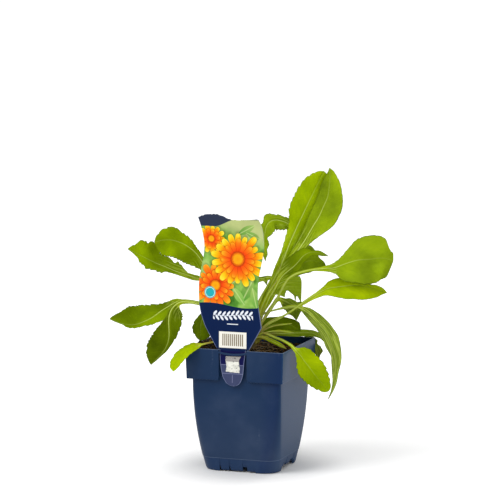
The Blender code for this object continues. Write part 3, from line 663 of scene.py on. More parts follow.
def scatter_fibres(name, finish, chance, many, reach, length, thick, arch, shade):
    """Fibres: a three-sided thread carried along a short seeded arc that lies on the compost, its
    middle or its ends lifted by arch millimetres."""
    x, y, many = places_on_soil(chance, many, reach, -45, 5)
    long = chance.uniform(*length, many)[:, None]
    heading = chance.uniform(0, 2 * pi, many)[:, None]
    bend = chance.normal(0, 0.9, many)[:, None]
    t = np.linspace(-0.5, 0.5, FIBRE_LEVELS)[None]
    way = heading + bend * t
    limit = RIM_HALF - WALL - 3
    px = np.clip(x[:, None] + np.cos(way) * t * long, -limit, limit)
    py = np.clip(y[:, None] + np.sin(way) * t * long, -limit + 5, limit)
    lift = chance.uniform(*arch, many)[:, None]
    pz = soil_height(px, py) + 0.35 + np.where(lift > 0, lift * (2 * t) ** 2, -lift * (1 - (2 * t) ** 2))
    spine = np.stack([px, py, pz], axis=-1)
    radius = chance.uniform(*thick, many)[:, None, None, None]
    turn = np.linspace(0, 2 * pi, FIBRE_SIDES + 1)[:-1]
    c, s = np.cos(way)[..., None], np.sin(way)[..., None]
    off = np.stack([-s * np.cos(turn), c * np.cos(turn), np.sin(turn) + 0 * c], axis=-1)
    taper = (1.1 - np.abs(2 * t) ** 2)[..., None, None]
    bits = (spine[:, :, None] + off * radius * taper).reshape(many, -1, 3)
    low, high = np.arange(FIBRE_SIDES)[::-1], np.arange(FIBRE_SIDES) + (FIBRE_LEVELS - 1) * FIBRE_SIDES
    groups = [grid_faces(FIBRE_LEVELS, FIBRE_SIDES), np.stack([low, high])]
    strew(name, bits, groups, finish, chance.uniform(*shade, many))


# ---------------------------------------------------------------- leaf finish

LEAF_TONES = [(0.0, (64, 80, 0)), (0.3, (98, 120, 0)), (0.6, (138, 164, 0)), (1.0, (176, 198, 4))]


def leaf_finish():
    """Living leaf: pale midrib, soft side veins, mottled green, darker margins and a paler stalk.

    The leaf's own values are flow (place along, distance from the midrib and half width, in
    millimetres), look (tone, midrib and greyness), stalk (1 on the stalk), strap (1 there and on the
    narrow foot of the blade), rib_half (half the midrib's width) and below (1 underneath)."""
    leaf = Finish("leaf_green", Specular_IOR_Level=0.02)
    place = leaf.place()
    along, aside, half = leaf.split(leaf.painted("flow", "Vector"))
    tone, rib, grey = leaf.split(leaf.painted("look", "Vector"))
    stalk, strap, below, rib_half = [leaf.painted(name) for name in ("stalk", "strap", "below", "rib_half")]
    blade = 1.0 - stalk
    far, off_rib = abs(aside), aside / rib_half
    reach = far / half
    mottle = leaf.noise(place, 160.0)
    drift = leaf.noise(place, 70.0, 1.0)
    grain = leaf.noise(place, 900.0, 2.0)

    # Side veins leave the midrib forwards, and fade towards the edge.
    wave = (along - far * VEIN_LEAN + (drift - 0.5) * 9.0).swing(VEIN_STEP)
    vein = leaf.band(wave, 0.43, 0.5) * leaf.band(reach, 0.95, 0.4) * leaf.band(mottle, 0.35, 0.6)
    # Painted shade darkens the hollows along the side veins.
    vein_hollow_shade = leaf.band(wave, 0.22, 0.5) * leaf.band(reach, 1.05, 0.5)
    # Lines run lengthwise on stalks, on the narrow foot of a blade and on greyish leaves: partly the
    # leaf's own stripes, partly painted highlights along the stalks' ridges and painted shade between them.
    line = leaf.noise(leaf.join(aside * 0.9, along * 0.02, tone * 9.0), 1.0, 2.0)
    pale_lines_and_highlights, dark_lines_and_shade = grey * grey * 1.1 + strap * 0.5, grey * grey * 0.7 + strap * 0.42
    edge = leaf.band(half - far, 1.1, 0.2) * leaf.band(reach, 0.7, 1.0) * blade
    # One flank of the midrib lies in its shade.
    shade = leaf.band(off_rib, 0.9, 1.4) * leaf.band(off_rib, 5.0, 1.6)
    core = leaf.band(abs(off_rib), 1.25, 0.5)
    # Close to the crown, and all along where there is no midrib, the stalk has a dusky tint.
    dusk = leaf.band(along, 44.0, 8.0).most(leaf.band(rib, 0.2, 0.0))
    dusk = dusk * leaf.band(leaf.noise(place, 110.0, 2.0), 0.36, 0.54)

    body = leaf.ramp(tone + (mottle - 0.5) * 0.16, LEAF_TONES)
    body = leaf.lay(body, (grey * (0.45 + mottle * 0.5), (140, 160, 66)))
    body = leaf.mix(vein_hollow_shade * blade * 0.2, body, (0.62, 0.7, 0.5), "MULTIPLY")
    body = leaf.lay(
        body,
        (vein * blade * (tone * 0.26 + 0.1), (174, 196, 34)),
        (stalk * (0.8 - leaf.band(along, 45.0, 92.0) * 0.36), (190, 208, 30)),
        (leaf.band(line, 0.5, 0.6) * pale_lines_and_highlights, (198, 214, 92)),
        (leaf.band(line, 0.48, 0.38) * dark_lines_and_shade, (84, 108, 2)),
        (edge * 0.5, (78, 94, 16)),
        (leaf.band(far, 3.4, 0.9) * rib * 0.25, (150, 172, 12)),
        (shade * rib * 0.3, (70, 92, 2)),
        (core * rib.most(stalk * 0.8), (196, 212, 108)),
        (stalk * dusk * 0.65, (150, 108, 72)),
        (below * 0.5 * blade, (150, 166, 84)))
    rise = grain * 0.3 + mottle * 0.5 - vein * 0.4 + line * stalk * 0.6
    return leaf.feed(Base_Color=body, Roughness=0.5 + mottle * 0.18, Normal=leaf.bump(rise, 0.35, 0.0006))


# ---------------------------------------------------------------- leaves

# A leaf: where its stalk leaves the crown, the points of its midrib, its two margins as pairs of
# (place along the midrib, half width), with no right one where the left one stands for both, its fold
# in degrees, the way it faces at either end, and its look: tone, depth of the teeth, strength of the
# midrib, waviness, greyness, and painted shading across the blade, as how much the tone gains from the
# midrib to the right margin, at either end
Leaf = namedtuple("Leaf", "bearing rise route left right fold faces look")
Look = namedtuple("Look", "tone teeth rib wave grey slant", defaults=[(0, 0)])
LEAVES = {
    "leaf_tall_rear": Leaf(
        20, 19,
        [(13.5, 2, 180), (20.5, 3.5, 192.5), (27.5, 5, 205.5), (34.5, 9, 223), (48.5, 14, 255.5),
         (64.5, 21, 288.5), (78.5, 27, 316.5)],
        [(25, 1.6), (39, 2.6), (52, 3), (72, 6), (86, 5.2), (101, 6.5), (115, 8.5), (123, 10.5), (137, 17),
         (143, 17.7), (157, 17.9), (171, 16), (181, 11), (187, 5.1)],
        [(30, 1.6), (45, 2), (61, 2), (75, 3), (88, 6.5), (108, 10), (122, 13), (138, 17.5), (157, 18),
         (169, 17.5), (180, 13), (187, 7)],
        3, [(0.3, -1, 0.3), (0.1, -1, 0.3)], Look(0.6, 1.4, 0.8, 1.3, 0, (0, -0.16))),
    "leaf_tall_front": Leaf(
        -25, 19,
        [(16.5, -1, 180.5), (24.5, -1, 195.5), (33, -1, 211.5), (49, 2, 232), (63, 5, 253), (78, 9, 281),
         (84, 10, 301), (84, 10, 321.7)],
        [(60, 1.6), (80, 3), (92, 4.5), (108, 6), (127, 8), (139, 10), (154, 11), (172, 11), (187, 6.5),
         (195, 1.4)],
        [(60, 1.6), (80, 3), (92, 4), (103, 5), (111, 6.5), (116, 7.7), (122, 10), (131, 14.6), (140, 18.8),
         (147, 21), (156, 21.4), (164, 20), (171, 17.8), (180, 13.8), (187, 9.7), (195, 4.6)],
        7, [(0.3, -1, 0.3), (-0.6, -1, 0.2)], Look(0.48, 0.5, 0.95, 1.3, 0.1, (0.1, 0.14))),
    "leaf_arched_rear": Leaf(
        75, 19,
        [(9.5, 17, 177.5), (16, 19, 188.5), (21.5, 21, 198), (28, 24, 214), (38, 27, 233), (45.5, 29, 247),
         (43, 30, 256.5), (36, 30, 261.2), (29, 29, 263.3), (22.6, 27, 263), (17.7, 25, 259.5),
         (15, 23, 252), (13.9, 22, 239.2), (15.5, 21, 219.5)],
        [(90, 1.8), (112, 4.2), (120, 5.9), (125, 6.2), (129, 8.8), (136, 10.7), (144, 11.5), (151, 13.4),
         (157, 11.5), (163, 10.4), (166, 8), (170, 3.8), (176, 6.2), (180, 4.8), (183, 3.2), (188, 3.4),
         (192, 1.4)],
        [(90, 1.6), (118, 3), (124, 5), (129, 6), (136, 6), (141, 6.4), (146, 7.5), (149, 10), (151.5, 9.2),
         (153, 6.8), (156, 6), (158, 8.3), (160, 6), (166, 4.5), (172, 4), (180, 3.5), (186, 2.5)],
        6, [(0, -1, 0.3), (-0.2, -1, 0.2)], Look(0.5, 2.2, 0.8, 1, 0.1)),
    "leaf_round_left": Leaf(
        215, 19,
        [(-6.5, -6, 181), (-31, -6, 197.5), (-47, -7, 213.5), (-54.5, -9, 226.5), (-63, -11, 236.5),
         (-73.5, -13, 243.5), (-88.5, -15, 247.5), (-103, -17, 245.5)],
        [(70, 1.6), (82, 3), (88, 5), (92, 6), (97, 9.5), (104, 13.4), (114, 17.5), (126, 19), (135, 19.5),
         (147, 20), (155, 17.5), (159, 10)],
        [(80, 1.6), (88, 2), (97, 3.5), (104, 4), (115, 5.6), (121, 8.1), (127, 9.7), (133, 11.4),
         (137, 13.5), (141, 15.9), (145, 14.8), (149, 13.7), (153, 9.6), (157, 5.9)],
        8, [(0, -1, 0.5), (-0.2, -1, 0.5)], Look(0.47, 1.7, 0.9, 0.9, 0)),
    "leaf_toothed_left": Leaf(
        185, 15,
        [(-12, 1, 180), (-31.5, 4, 195), (-53, 4, 202), (-65.5, 4, 206), (-78.5, 3, 210.5),
         (-92.5, 2, 216.5), (-108.5, 1, 223.5), (-121, 0, 230), (-132, 0, 236)],
        [(78, 1.6), (86, 2), (97, 4.1), (112, 4), (119, 4.5), (126, 6.3), (131, 10), (137, 10.1),
         (142, 11.1), (147, 12.3), (151, 9.4), (155, 9.7), (158, 5.2), (162, 3.4), (168, 1.4)],
        [(80, 1.6), (87, 1.6), (91, 3.1), (97, 2.6), (102, 2.5), (107, 5.5), (113, 9), (117, 10.9),
         (121, 8.5), (123, 9.4), (125, 11.5), (127, 12), (133, 11.5), (139, 12), (142, 15.5), (146, 19.5),
         (151, 20.8), (154, 19.4), (156.5, 16.5), (160, 17.5), (165, 15.4), (167.5, 9), (170, 6)],
        12, [(-0.5, -1, 0.6), (0.2, -1, 0.5)], Look(0.46, 2, 0.7, 1.6, 0)),
    "leaf_level_left": Leaf(
        200, 13,
        [(-20.5, -8, 175), (-38.5, -10, 176.6), (-54.5, -10, 178.9), (-72, -10, 181.2), (-80.5, -10, 179.5),
         (-89, -10.5, 175), (-97.5, -11, 169.5), (-106, -11.5, 163.5), (-113.5, -12, 159.5),
         (-122, -12.5, 156.5), (-132, -13, 156), (-142.5, -13.5, 158.5), (-151.2, -14, 162.3)],
        [(80, 1.6), (91, 2.5), (99, 4.5), (104, 7), (108, 10), (114, 19), (120, 20), (126, 15.8),
         (134, 12.6), (144, 8), (152, 8), (157, 7.2), (163, 2), (170, 1)],
        [(82, 1.4), (91, 1.6), (98, 3.9), (104, 5), (111, 6.6), (116, 8.6), (124, 14.2), (131, 18.6),
         (136, 20.5), (148, 22.1), (158, 20.9), (164, 17), (171, 10.1), (176, 3.4)],
        24, [(0, -0.4, 1), (-0.3, -1, 0.9)], Look(0.38, 2, 0.95, 1, 0, (-0.05, -0.12))),
    "leaf_drooping_left": Leaf(
        235, 13,
        [(-20.5, -15, 171.5), (-37.5, -21, 175.6), (-54.5, -25, 179.5), (-67, -28, 182.3),
         (-75.5, -30, 182.5), (-81.5, -32, 179), (-85, -34, 174.5), (-87, -36, 168.5), (-87.5, -38, 161.5),
         (-87, -40, 152), (-88, -41, 142.5), (-91.5, -41.5, 134), (-97.5, -42, 126), (-106.5, -42, 117)],
        [(80, 1.4), (88, 2.6), (96, 4), (104, 14.2), (111, 15.9), (120, 15.6), (127, 13.5), (133, 10.7),
         (139, 7.3), (145, 4.5), (152, 3), (159, 1.5), (166, 1)],
        [(80, 1.4), (91, 1.6), (105, 1.6), (113, 2.5), (119, 6), (124, 11), (131, 17), (142, 20.2),
         (155, 20.3), (162, 17.7), (166, 14.5), (169, 12.2), (171, 7.1)],
        14, [(0, -0.5, 1), (-0.1, -1, 0.2)], Look(0.1, 2, 1, 0.8, 0)),
    "leaf_small_left": Leaf(
        250, 7,
        [(-20.5, -16, 163), (-36.5, -19, 173.5), (-47, -22, 171.5), (-52, -24, 164.5), (-54, -25, 154),
         (-53, -25, 140)],
        [(50, 2), (58, 5), (66, 8), (79, 12), (90, 12.5), (96, 7)],
        [(50, 1.6), (63, 2), (72, 4.9), (76, 7.1), (81, 8.7), (84, 9.3), (89, 8), (93, 5.6), (97, 2)],
        8, [(0, -0.5, 1), (-0.1, -1, 0.2)], Look(0.1, 1.6, 0.25, 0.6, 0)),
    "leaf_over_left_rim": Leaf(
        222, 6,
        [(-17, -20, 145.5), (-32, -24, 141.2), (-42.3, -29.5, 139.3), (-48.5, -32.5, 138.5),
         (-53.4, -35, 137.6), (-57.9, -37.5, 136), (-63.5, -40, 133.6), (-69.3, -42.5, 130),
         (-74.5, -44, 125.5), (-79.5, -45.5, 119), (-83, -46, 110.5)],
        [(30, 1.2), (48, 1.1), (59, 1.1), (65, 3.4), (71, 5), (78, 6), (85, 6.5), (95, 5.8), (101, 3.2)],
        [(30, 1.2), (48, 1.1), (58, 1.1), (62, 3.6), (66, 7.6), (70, 7.8), (76, 8.4), (80, 8), (85, 8.5),
         (90, 8), (94, 7.8), (99, 6.9), (102, 5.4)],
        8, [(0, -0.3, 1), (-0.5, -1, 0.4)], Look(0.8, 1.6, 0, 0.7, 0)),
    "leaf_broad_right": Leaf(
        -62, 13,
        [(14, -9, 162), (19.8, -12, 171), (26.6, -15, 182.5), (32.8, -18, 195), (41, -20.5, 207.5),
         (54, -22.5, 214), (69, -23.5, 217), (84, -23, 218.5), (100, -21, 222.5), (121.5, -18, 227),
         (137.5, -15, 228.5), (152, -12, 224.5)],
        [(100, 1.6), (110, 2), (120, 3.5), (128, 5.9), (137, 10.4), (145, 15.1), (151, 19.5), (157, 25.6),
         (165, 30.1), (173, 32), (179, 31), (183, 28.9), (186, 25.8), (190, 12.2), (194, 8.6)],
        [(100, 1.6), (106, 1.6), (114, 2.5), (124, 5), (129, 7.8), (134, 16.5), (140, 21), (149, 25),
         (157, 27.5), (168, 27.4), (185, 24), (193, 19.4)],
        -8, [(0, -0.6, 1), (0, -1, 0.6)], Look(0.54, 1.2, 0.66, 1.6, 0.12, (-0.16, -0.08))),
    "leaf_long_right": Leaf(
        -12, 9,
        [(16, -12, 155), (24.5, -14, 160), (32, -15, 164), (39.5, -15.5, 168.5), (48, -16, 174.5),
         (53.5, -16, 178.5), (65, -16.5, 186.5), (78, -17, 193.5), (92.5, -17, 197), (111, -16.5, 199),
         (128, -15.5, 197), (145.5, -14, 190.5)],
        [(50, 1.1), (66, 1.3), (74, 1.4), (87, 1.8), (96, 4.2), (104, 9.9), (113, 12), (121, 11),
         (131, 7.5), (141, 5), (147, 3), (153, 4.4), (159, 4.1)],
        [(50, 1.1), (60, 1.2), (72, 3.2), (80, 4.1), (89, 6.2), (96, 8), (104, 11.4), (112, 15.7),
         (121, 19.5), (133, 19.2), (146, 16.8), (156, 11.9), (162, 5)],
        8, [(0, -0.6, 1), (0, -1, 0.7)], Look(0.86, 0.3, 0.5, 0.9, 0, (0, -0.1))),
    "leaf_arching_right": Leaf(
        -36, 13,
        [(14, -5, 166.5), (23.5, -5.5, 170), (36.5, -6, 173), (50.5, -6, 173), (60, -6, 168),
         (69.5, -6, 159.5), (79.5, -6, 147.5), (86, -6.5, 135.5), (90, -7, 125), (92, -8, 114),
         (91, -8.5, 103.5), (89.5, -9, 92.5), (87, -9.5, 82.5), (84, -10, 73.5)],
        [(24, 1), (36, 0.9), (45, 1.2), (57, 2.5), (70, 3.5), (77, 6.4), (84, 8.1), (93, 10.6), (102, 11.3),
         (109, 10.6), (117, 11.2), (125, 10.4), (131, 9), (137, 7.4), (142, 6.1), (148, 4.5), (156, 3),
         (165, 2.5)],
        [(24, 1), (40, 0.9), (58, 1.5), (69, 2), (75, 6), (83, 8.4), (92, 10), (103, 10.6), (111, 9.7),
         (121, 11), (129, 9.4), (135, 7.7), (141, 8.6), (149, 8), (156, 6.5), (164, 4), (173, 2), (179, 1)],
        12, [(0, -0.5, 1), (0.8, -0.8, 0.2)], Look(0.42, 0.15, 0.6, 0.8, 0.76, (0.05, -0.3))),
    "leaf_over_right_rim": Leaf(
        -48, 8,
        [(11.5, -12, 146.5), (22.5, -20.5, 144.5), (32, -29, 142), (39, -37, 139.5), (43.5, -41.5, 137),
         (47.5, -44, 133), (52, -45, 128.5), (56, -44.5, 122.5), (61.5, -44.5, 115.5), (66.5, -44, 108.5),
         (74, -42, 98.5), (82.5, -40, 88)],
        [(48, 1.6), (62, 1.6), (65.5, 3.5), (69, 8.5), (73, 12.5), (79, 14.5), (87, 15), (94, 15.2),
         (102, 14.6), (111, 12.2), (117, 8.2), (122, 4)],
        [(48, 1.6), (60, 2), (67, 3), (71, 6), (77, 10), (82, 13.5), (88, 15), (94, 14.5), (101, 13.5),
         (109, 11), (116, 8), (122, 3.5)],
        8, [(0, -0.2, 1), (-0.1, -1, 0.5)], Look(0.66, 1.8, 0.3, 1, 0)),
    "leaf_dark_right": Leaf(
        55, 6,
        [(12, 12, 148), (20.5, 14.5, 150.5), (31.5, 17, 152), (42, 19.5, 150), (54, 21, 143)],
        [(6, 1.6), (13, 6), (22, 9.5), (27, 11), (35, 9.5), (42, 8.8), (49, 8), (53, 8), (57, 8),
         (61, 4.5)],
        [(6, 1.6), (13, 5), (24, 10), (36, 10), (52, 6.5), (59, 3)],
        8, [(0, -0.6, 1), (0, -1, 0.6)], Look(0.22, 0.4, 0.3, 0.8, 0)),
    "leaf_over_back_rim": Leaf(
        30, 6,
        [(16, 11, 141.5), (32.5, 20, 140.7), (47.5, 28, 140), (58, 31, 139.8), (66, 32, 139.4),
         (73, 32, 136.6), (79.5, 31.5, 132.5), (84, 31, 128)],
        [(15, 2), (25, 5), (35, 7), (48, 7), (57, 5), (68, 4), (80, 4), (88, 3)],
        [(20, 1.6), (42, 4.2), (54, 5.6), (63, 5.2), (71, 5), (82, 2.8), (89, 3.1)],
        3, [(0, -0.7, 0.7), (0.2, -0.7, 0.7)], Look(0.5, 0.8, 0.5, 0.6, 0.2)),
    "leaf_narrow_front": Leaf(
        -92, 8,
        [(11.5, -17, 143), (20, -20.5, 140.5), (30, -24, 136), (37.5, -27, 132)],
        [(8, 1.6), (18, 2.6), (28, 3.4), (36, 3.4), (44, 2.2)], None,
        8, [(0, -0.2, 1), (0, -0.5, 1)], Look(0.72, 0.3, 0.5, 0.3, 0)),
    "leaf_pointed_right": Leaf(
        -70, 19,
        [(17, -7, 178), (27, -10, 197), (34, -11, 208.5), (41.5, -12, 215.5), (50, -13, 223),
         (57, -13.5, 231), (63, -14, 234), (71.5, -14.5, 234), (82.5, -15, 231.5)],
        [(52, 1.6), (60, 2.5), (72, 6), (86, 13.5), (99, 13), (105, 12), (110, 7), (113, 2.2), (121, 4.3),
         (127, 2)],
        [(55, 1.6), (68, 2), (80, 5.5), (90, 10.2), (96, 8), (106, 11), (113, 8), (120, 8), (124, 7.8),
         (127.5, 6), (129, 2.5)],
        8, [(0, -1, 0.5), (0, -0.3, 1)], Look(0.36, 1, 0.8, 1, 0)),
    "leaf_behind_right": Leaf(
        48, 13,
        [(16, 14, 176), (31, 20, 199), (45.5, 24, 210), (58.5, 26, 218), (70, 27, 219), (81, 27, 213)],
        [(50, 1.6), (60, 1.6), (73, 2), (83, 8), (95, 14), (101, 17), (105, 18.4), (108, 17.2), (111, 12.6),
         (116, 4.5), (122, 2.8)],
        [(50, 1.6), (60, 1.6), (74, 6), (86, 9), (103, 13), (117, 10), (123, 7)],
        8, [(0.3, -1, 0.3), (0.1, -1, 0.3)], Look(0.42, 0.5, 0.3, 1, 0.1)),
    "leaf_hanging_middle": Leaf(
        28, 13,
        [(18, 9, 178), (25.5, 11, 191), (33, 13, 197.5), (42, 15, 199), (48.5, 17, 198.5), (54.5, 19, 198)],
        [(60, 1.6), (68, 3), (74, 5), (81, 5.5), (86, 5.5)],
        [(40, 1.4), (48, 1.6), (52, 8), (54, 15.3), (57, 13.8), (62, 12.4), (68, 11), (74, 13.6),
         (79, 17.5), (80.5, 23.5), (82, 17), (85, 21.5), (86.5, 24.6)],
        8, [(0, -0.6, 1), (0, -1, 0.3)], Look(0.62, 0.5, 0.7, 0.8, 0.3)),
    "leaf_curled_middle": Leaf(
        5, 13,
        [(19.5, 2, 170), (24.5, 5, 176.5), (29, 8, 180.2), (36.5, 10, 177.5), (44, 12, 173),
         (49, 13, 166.5), (48.8, 13.5, 155.8)],
        [(32, 1.2), (40, 1.2), (47, 2), (55, 2.6), (61, 5.5), (68, 6.3), (71, 11.1), (74, 7.9), (78, 3.1)],
        [(32, 1.4), (41, 2.8), (50, 3), (57, 9.1), (64, 11), (70, 12), (76, 10.6), (80, 6)],
        10, [(0, -0.6, 1), (0.3, -1, 0.3)], Look(0.28, 0.8, 0.5, 0.8, 0.3, (-0.15, -0.2))),
    "leaf_hidden_rear": Leaf(
        75, 19,
        [(9, 21, 172), (16, 23, 186), (22, 24.5, 196), (23.5, 25, 199.5), (20, 25, 201.5), (13, 25, 200.5),
         (7.5, 25, 199.5), (-5.5, 25, 195), (-20.5, 23, 184.5)],
        [(40, 1.4), (64, 2.6), (68, 3), (71, 5), (73, 9.5), (76, 3.5), (80, 4), (88, 9), (100, 9),
         (108, 5)],
        [(40, 1.4), (64, 1.5), (78, 2), (88, 6), (100, 7), (108, 4)],
        8, [(-0.3, -1, 0.3), (0, -1, 0.5)], Look(0.3, 0.6, 0.5, 0.5, 0)),
}
# Young leaves and stalks that fill the heart of the plant
SHOOTS = {
    "young_leaf_front": Leaf(
        -60, 15,
        [(11, -8, 172), (14.5, -11, 181), (19, -13, 190), (24, -14, 198), (28, -14.5, 204)],
        [(12, 1.2), (20, 1.5), (32, 2.6), (42, 2)],
        [(12, 1.2), (20, 1.5), (32, 2.8), (42, 2)],
        16, [(0, -1, 0.4), (0, -1, 0.6)], Look(0.5, 0.3, 0.6, 0.3, 0.1)),
    "young_leaf_right": Leaf(
        -40, 11,
        [(11.5, -5, 163), (15, -7, 172), (19.5, -8, 183), (24.5, -8, 194), (31, -8, 205), (37, -7, 213)],
        [(12, 1.2), (30, 1.3), (46, 3), (56, 4), (62, 3)],
        [(12, 1.2), (30, 1.3), (46, 4), (56, 5), (62, 3)],
        16, [(0, -1, 0.4), (0, -1, 0.6)], Look(0.4, 0.4, 0.7, 0.3, 0.1)),
    "young_leaf_middle": Leaf(
        10, 16,
        [(9.5, 1, 170), (14, 1, 181), (19.5, 1, 193), (26, 2, 206), (33, 4, 219)],
        [(12, 1.2), (30, 1.8), (46, 3.5), (58, 3)], None,
        20, [(0, -1, 0.4), (0, -1, 0.6)], Look(0.45, 0.4, 0.7, 0.3, 0.1)),
    "young_leaf_left": Leaf(
        200, 16,
        [(-9, -5, 158), (-14, -8, 168), (-22, -10, 177), (-31, -12, 182), (-38, -14, 181)],
        [(12, 1.2), (26, 2), (38, 5), (48, 5), (54, 3)], None,
        16, [(0, -1, 0.6), (0, -1, 0.8)], Look(0.5, 0.6, 0.6, 0.5, 0.1)),
    "young_stalk_right": Leaf(
        -20, 15,
        [(11.7, -4, 147.2), (18, -4, 150.4), (26.7, -3, 153), (36.4, -2, 154.2), (44, -1, 155)],
        [(12, 0.8), (20, 0.7), (30, 1), (40, 0.7)], None,
        14, [(0, -1, 0.6), (0, -1, 0.8)], Look(0.62, 0.2, 0.8, 0.2, 0.1)),
    "young_stalk_low": Leaf(
        -50, 14,
        [(11.7, -8, 145.1), (20.3, -9, 147.4), (29.9, -9, 148), (38.5, -9, 147.2), (46, -8, 146)],
        [(12, 0.8), (20, 0.8), (32, 1.6), (42, 0.8)], None,
        14, [(0, -1, 0.6), (0, -1, 0.8)], Look(0.34, 0.2, 0.8, 0.2, 0.1)),
    "young_stalk_high": Leaf(
        0, 16,
        [(12.8, 0, 150.9), (19.2, 2, 156), (27.9, 3, 160.7), (36, 4, 163)],
        [(12, 0.8), (22, 0.7), (32, 0.6)], None,
        14, [(0, -1, 0.6), (0, -1, 0.8)], Look(0.52, 0.2, 0.8, 0.2, 0.1)),
    "young_leaf_corner": Leaf(
        50, 5,
        [(18, 14, 139.5), (34, 24, 138.5), (50, 34, 138), (58, 39.3, 137.4), (64, 38.9, 133),
         (68, 37.5, 127.5), (71, 36.5, 121), (73, 35.8, 115), (73.5, 35.6, 109.5)],
        [(20, 1.4), (60, 1.4), (70, 3), (76, 4), (80, 5.5), (82, 3.6), (87, 6), (91, 6.6), (94, 3)],
        [(20, 1.4), (60, 1.4), (70, 4), (82, 5), (90, 4)],
        6, [(0, -0.6, 0.8), (-0.33, -0.94, 0.1)], Look(0.25, 0.8, 0.4, 0.5, 0.4)),
    "young_leaf_back": Leaf(
        110, 14,
        [(-7, 12, 156), (-9, 18, 167), (-12, 26, 176), (-16, 35, 180), (-20, 43, 178)],
        [(12, 1.2), (26, 3), (38, 7), (48, 6), (54, 3)], None,
        16, [(0, 1, 0.6), (0, 1, 0.8)], Look(0.4, 0.6, 0.6, 0.6, 0.1)),
}


def plant_to_pot(points):
    """Points in the plant's frame, turned into the pot's."""
    c, s = cos(PLANT_TURN), sin(PLANT_TURN)
    return points @ np.array([[c, s, 0.0], [-s, c, 0.0], [0.0, 0.0, 1.0]])


def crown_radius(height):
    """The crown narrows upwards as an ellipse."""
    return CROWN_RADIUS * sqrt(max(0.0, 1 - (height / CROWN_HEIGHT) ** 2))


def leaf_seat(leaf):
    """Where a petiole starts, just off the crown, in the plant's frame."""
    turn = radians(leaf.bearing)
    radius = crown_radius(leaf.rise) + LEAF_THICK / 2 + 3 * GAP
    return CROWN_ACROSS + radius * cos(turn), radius * sin(turn), CROWN_FOOT + leaf.rise


def margin(pairs, length, at):
    """Half width at places along the midrib: a monotone cubic through the leaf's pairs, which
    starts as a stalk that widens where it clasps the crown and ends in a narrow tip."""
    pairs = [(0, STALK_FOOT), (STALK_CLASP, PETIOLE_HALF), *pairs, (length, TIP_HALF)]
    knots, values = np.array(pairs, float).T
    keep = (knots <= length - TIP_ROOM) | (values == TIP_HALF)
    knots, values = knots[keep], values[keep]
    order = np.argsort(knots, kind="stable")
    knots, values = knots[order], values[order]
    gap = np.diff(knots)
    slope = np.diff(values) / gap
    level = slope[1:] * slope[:-1] > 0
    total = np.where(level, slope[1:] + slope[:-1], 1.0)
    middle = np.where(level, 2 * slope[1:] * slope[:-1] / total, 0.0)
    tangent = np.concatenate([slope[:1], middle, slope[-1:]])
    i = np.clip(np.searchsorted(knots, at, side="right") - 1, 0, len(knots) - 2)
    s = (at - knots[i]) / gap[i]
    start = (2 * s ** 3 - 3 * s ** 2 + 1) * values[i] + (s ** 3 - 2 * s ** 2 + s) * gap[i] * tangent[i]
    end = (3 * s ** 2 - 2 * s ** 3) * values[i + 1] + (s ** 3 - s ** 2) * gap[i] * tangent[i + 1]
    return np.maximum(start + end, TIP_HALF)


def toothed(half, along, depth, seed):
    """Cuts shallow teeth that point to the tip: the margin swells slowly up to each tooth's point and
    drops back behind it, by depth, at seeded spacings of 4 to 8 mm."""
    chance = np.random.default_rng(seed)
    cuts = np.cumsum(chance.uniform(*TOOTH_STEPS, MOST_TEETH))
    size = chance.uniform(0.45, 1.0, MOST_TEETH)
    i = np.clip(np.searchsorted(cuts, along), 1, MOST_TEETH - 1)
    share = (along - cuts[i - 1]) / (cuts[i] - cuts[i - 1])
    return half - depth * size[i - 1] * (1 - share) ** 1.6 * ease(3.0, 9.0, half)


def leaf_frame(leaf):
    """The share of the way along the midrib at each row, the midrib's length and points, and the
    ways that the blade's side and its top point there."""
    fine, length = smooth_route([leaf_seat(leaf)] + leaf.route, ROUTE_POINTS)
    rows = int(np.clip(length * 1.2, 60, 230))
    t = 1 - (1 - np.linspace(0, 1, rows)) ** 1.2
    spine = np.stack([np.interp(t, np.linspace(0, 1, ROUTE_POINTS), axis) for axis in fine.T], axis=1)
    forward = unit(np.gradient(spine, t, axis=0))
    t = t[:, None]
    facing = (1 - t) * np.array(leaf.faces[0]) + t * np.array(leaf.faces[1])
    side = unit(np.cross(forward, facing))
    return t, length, spine, side, np.cross(side, forward)


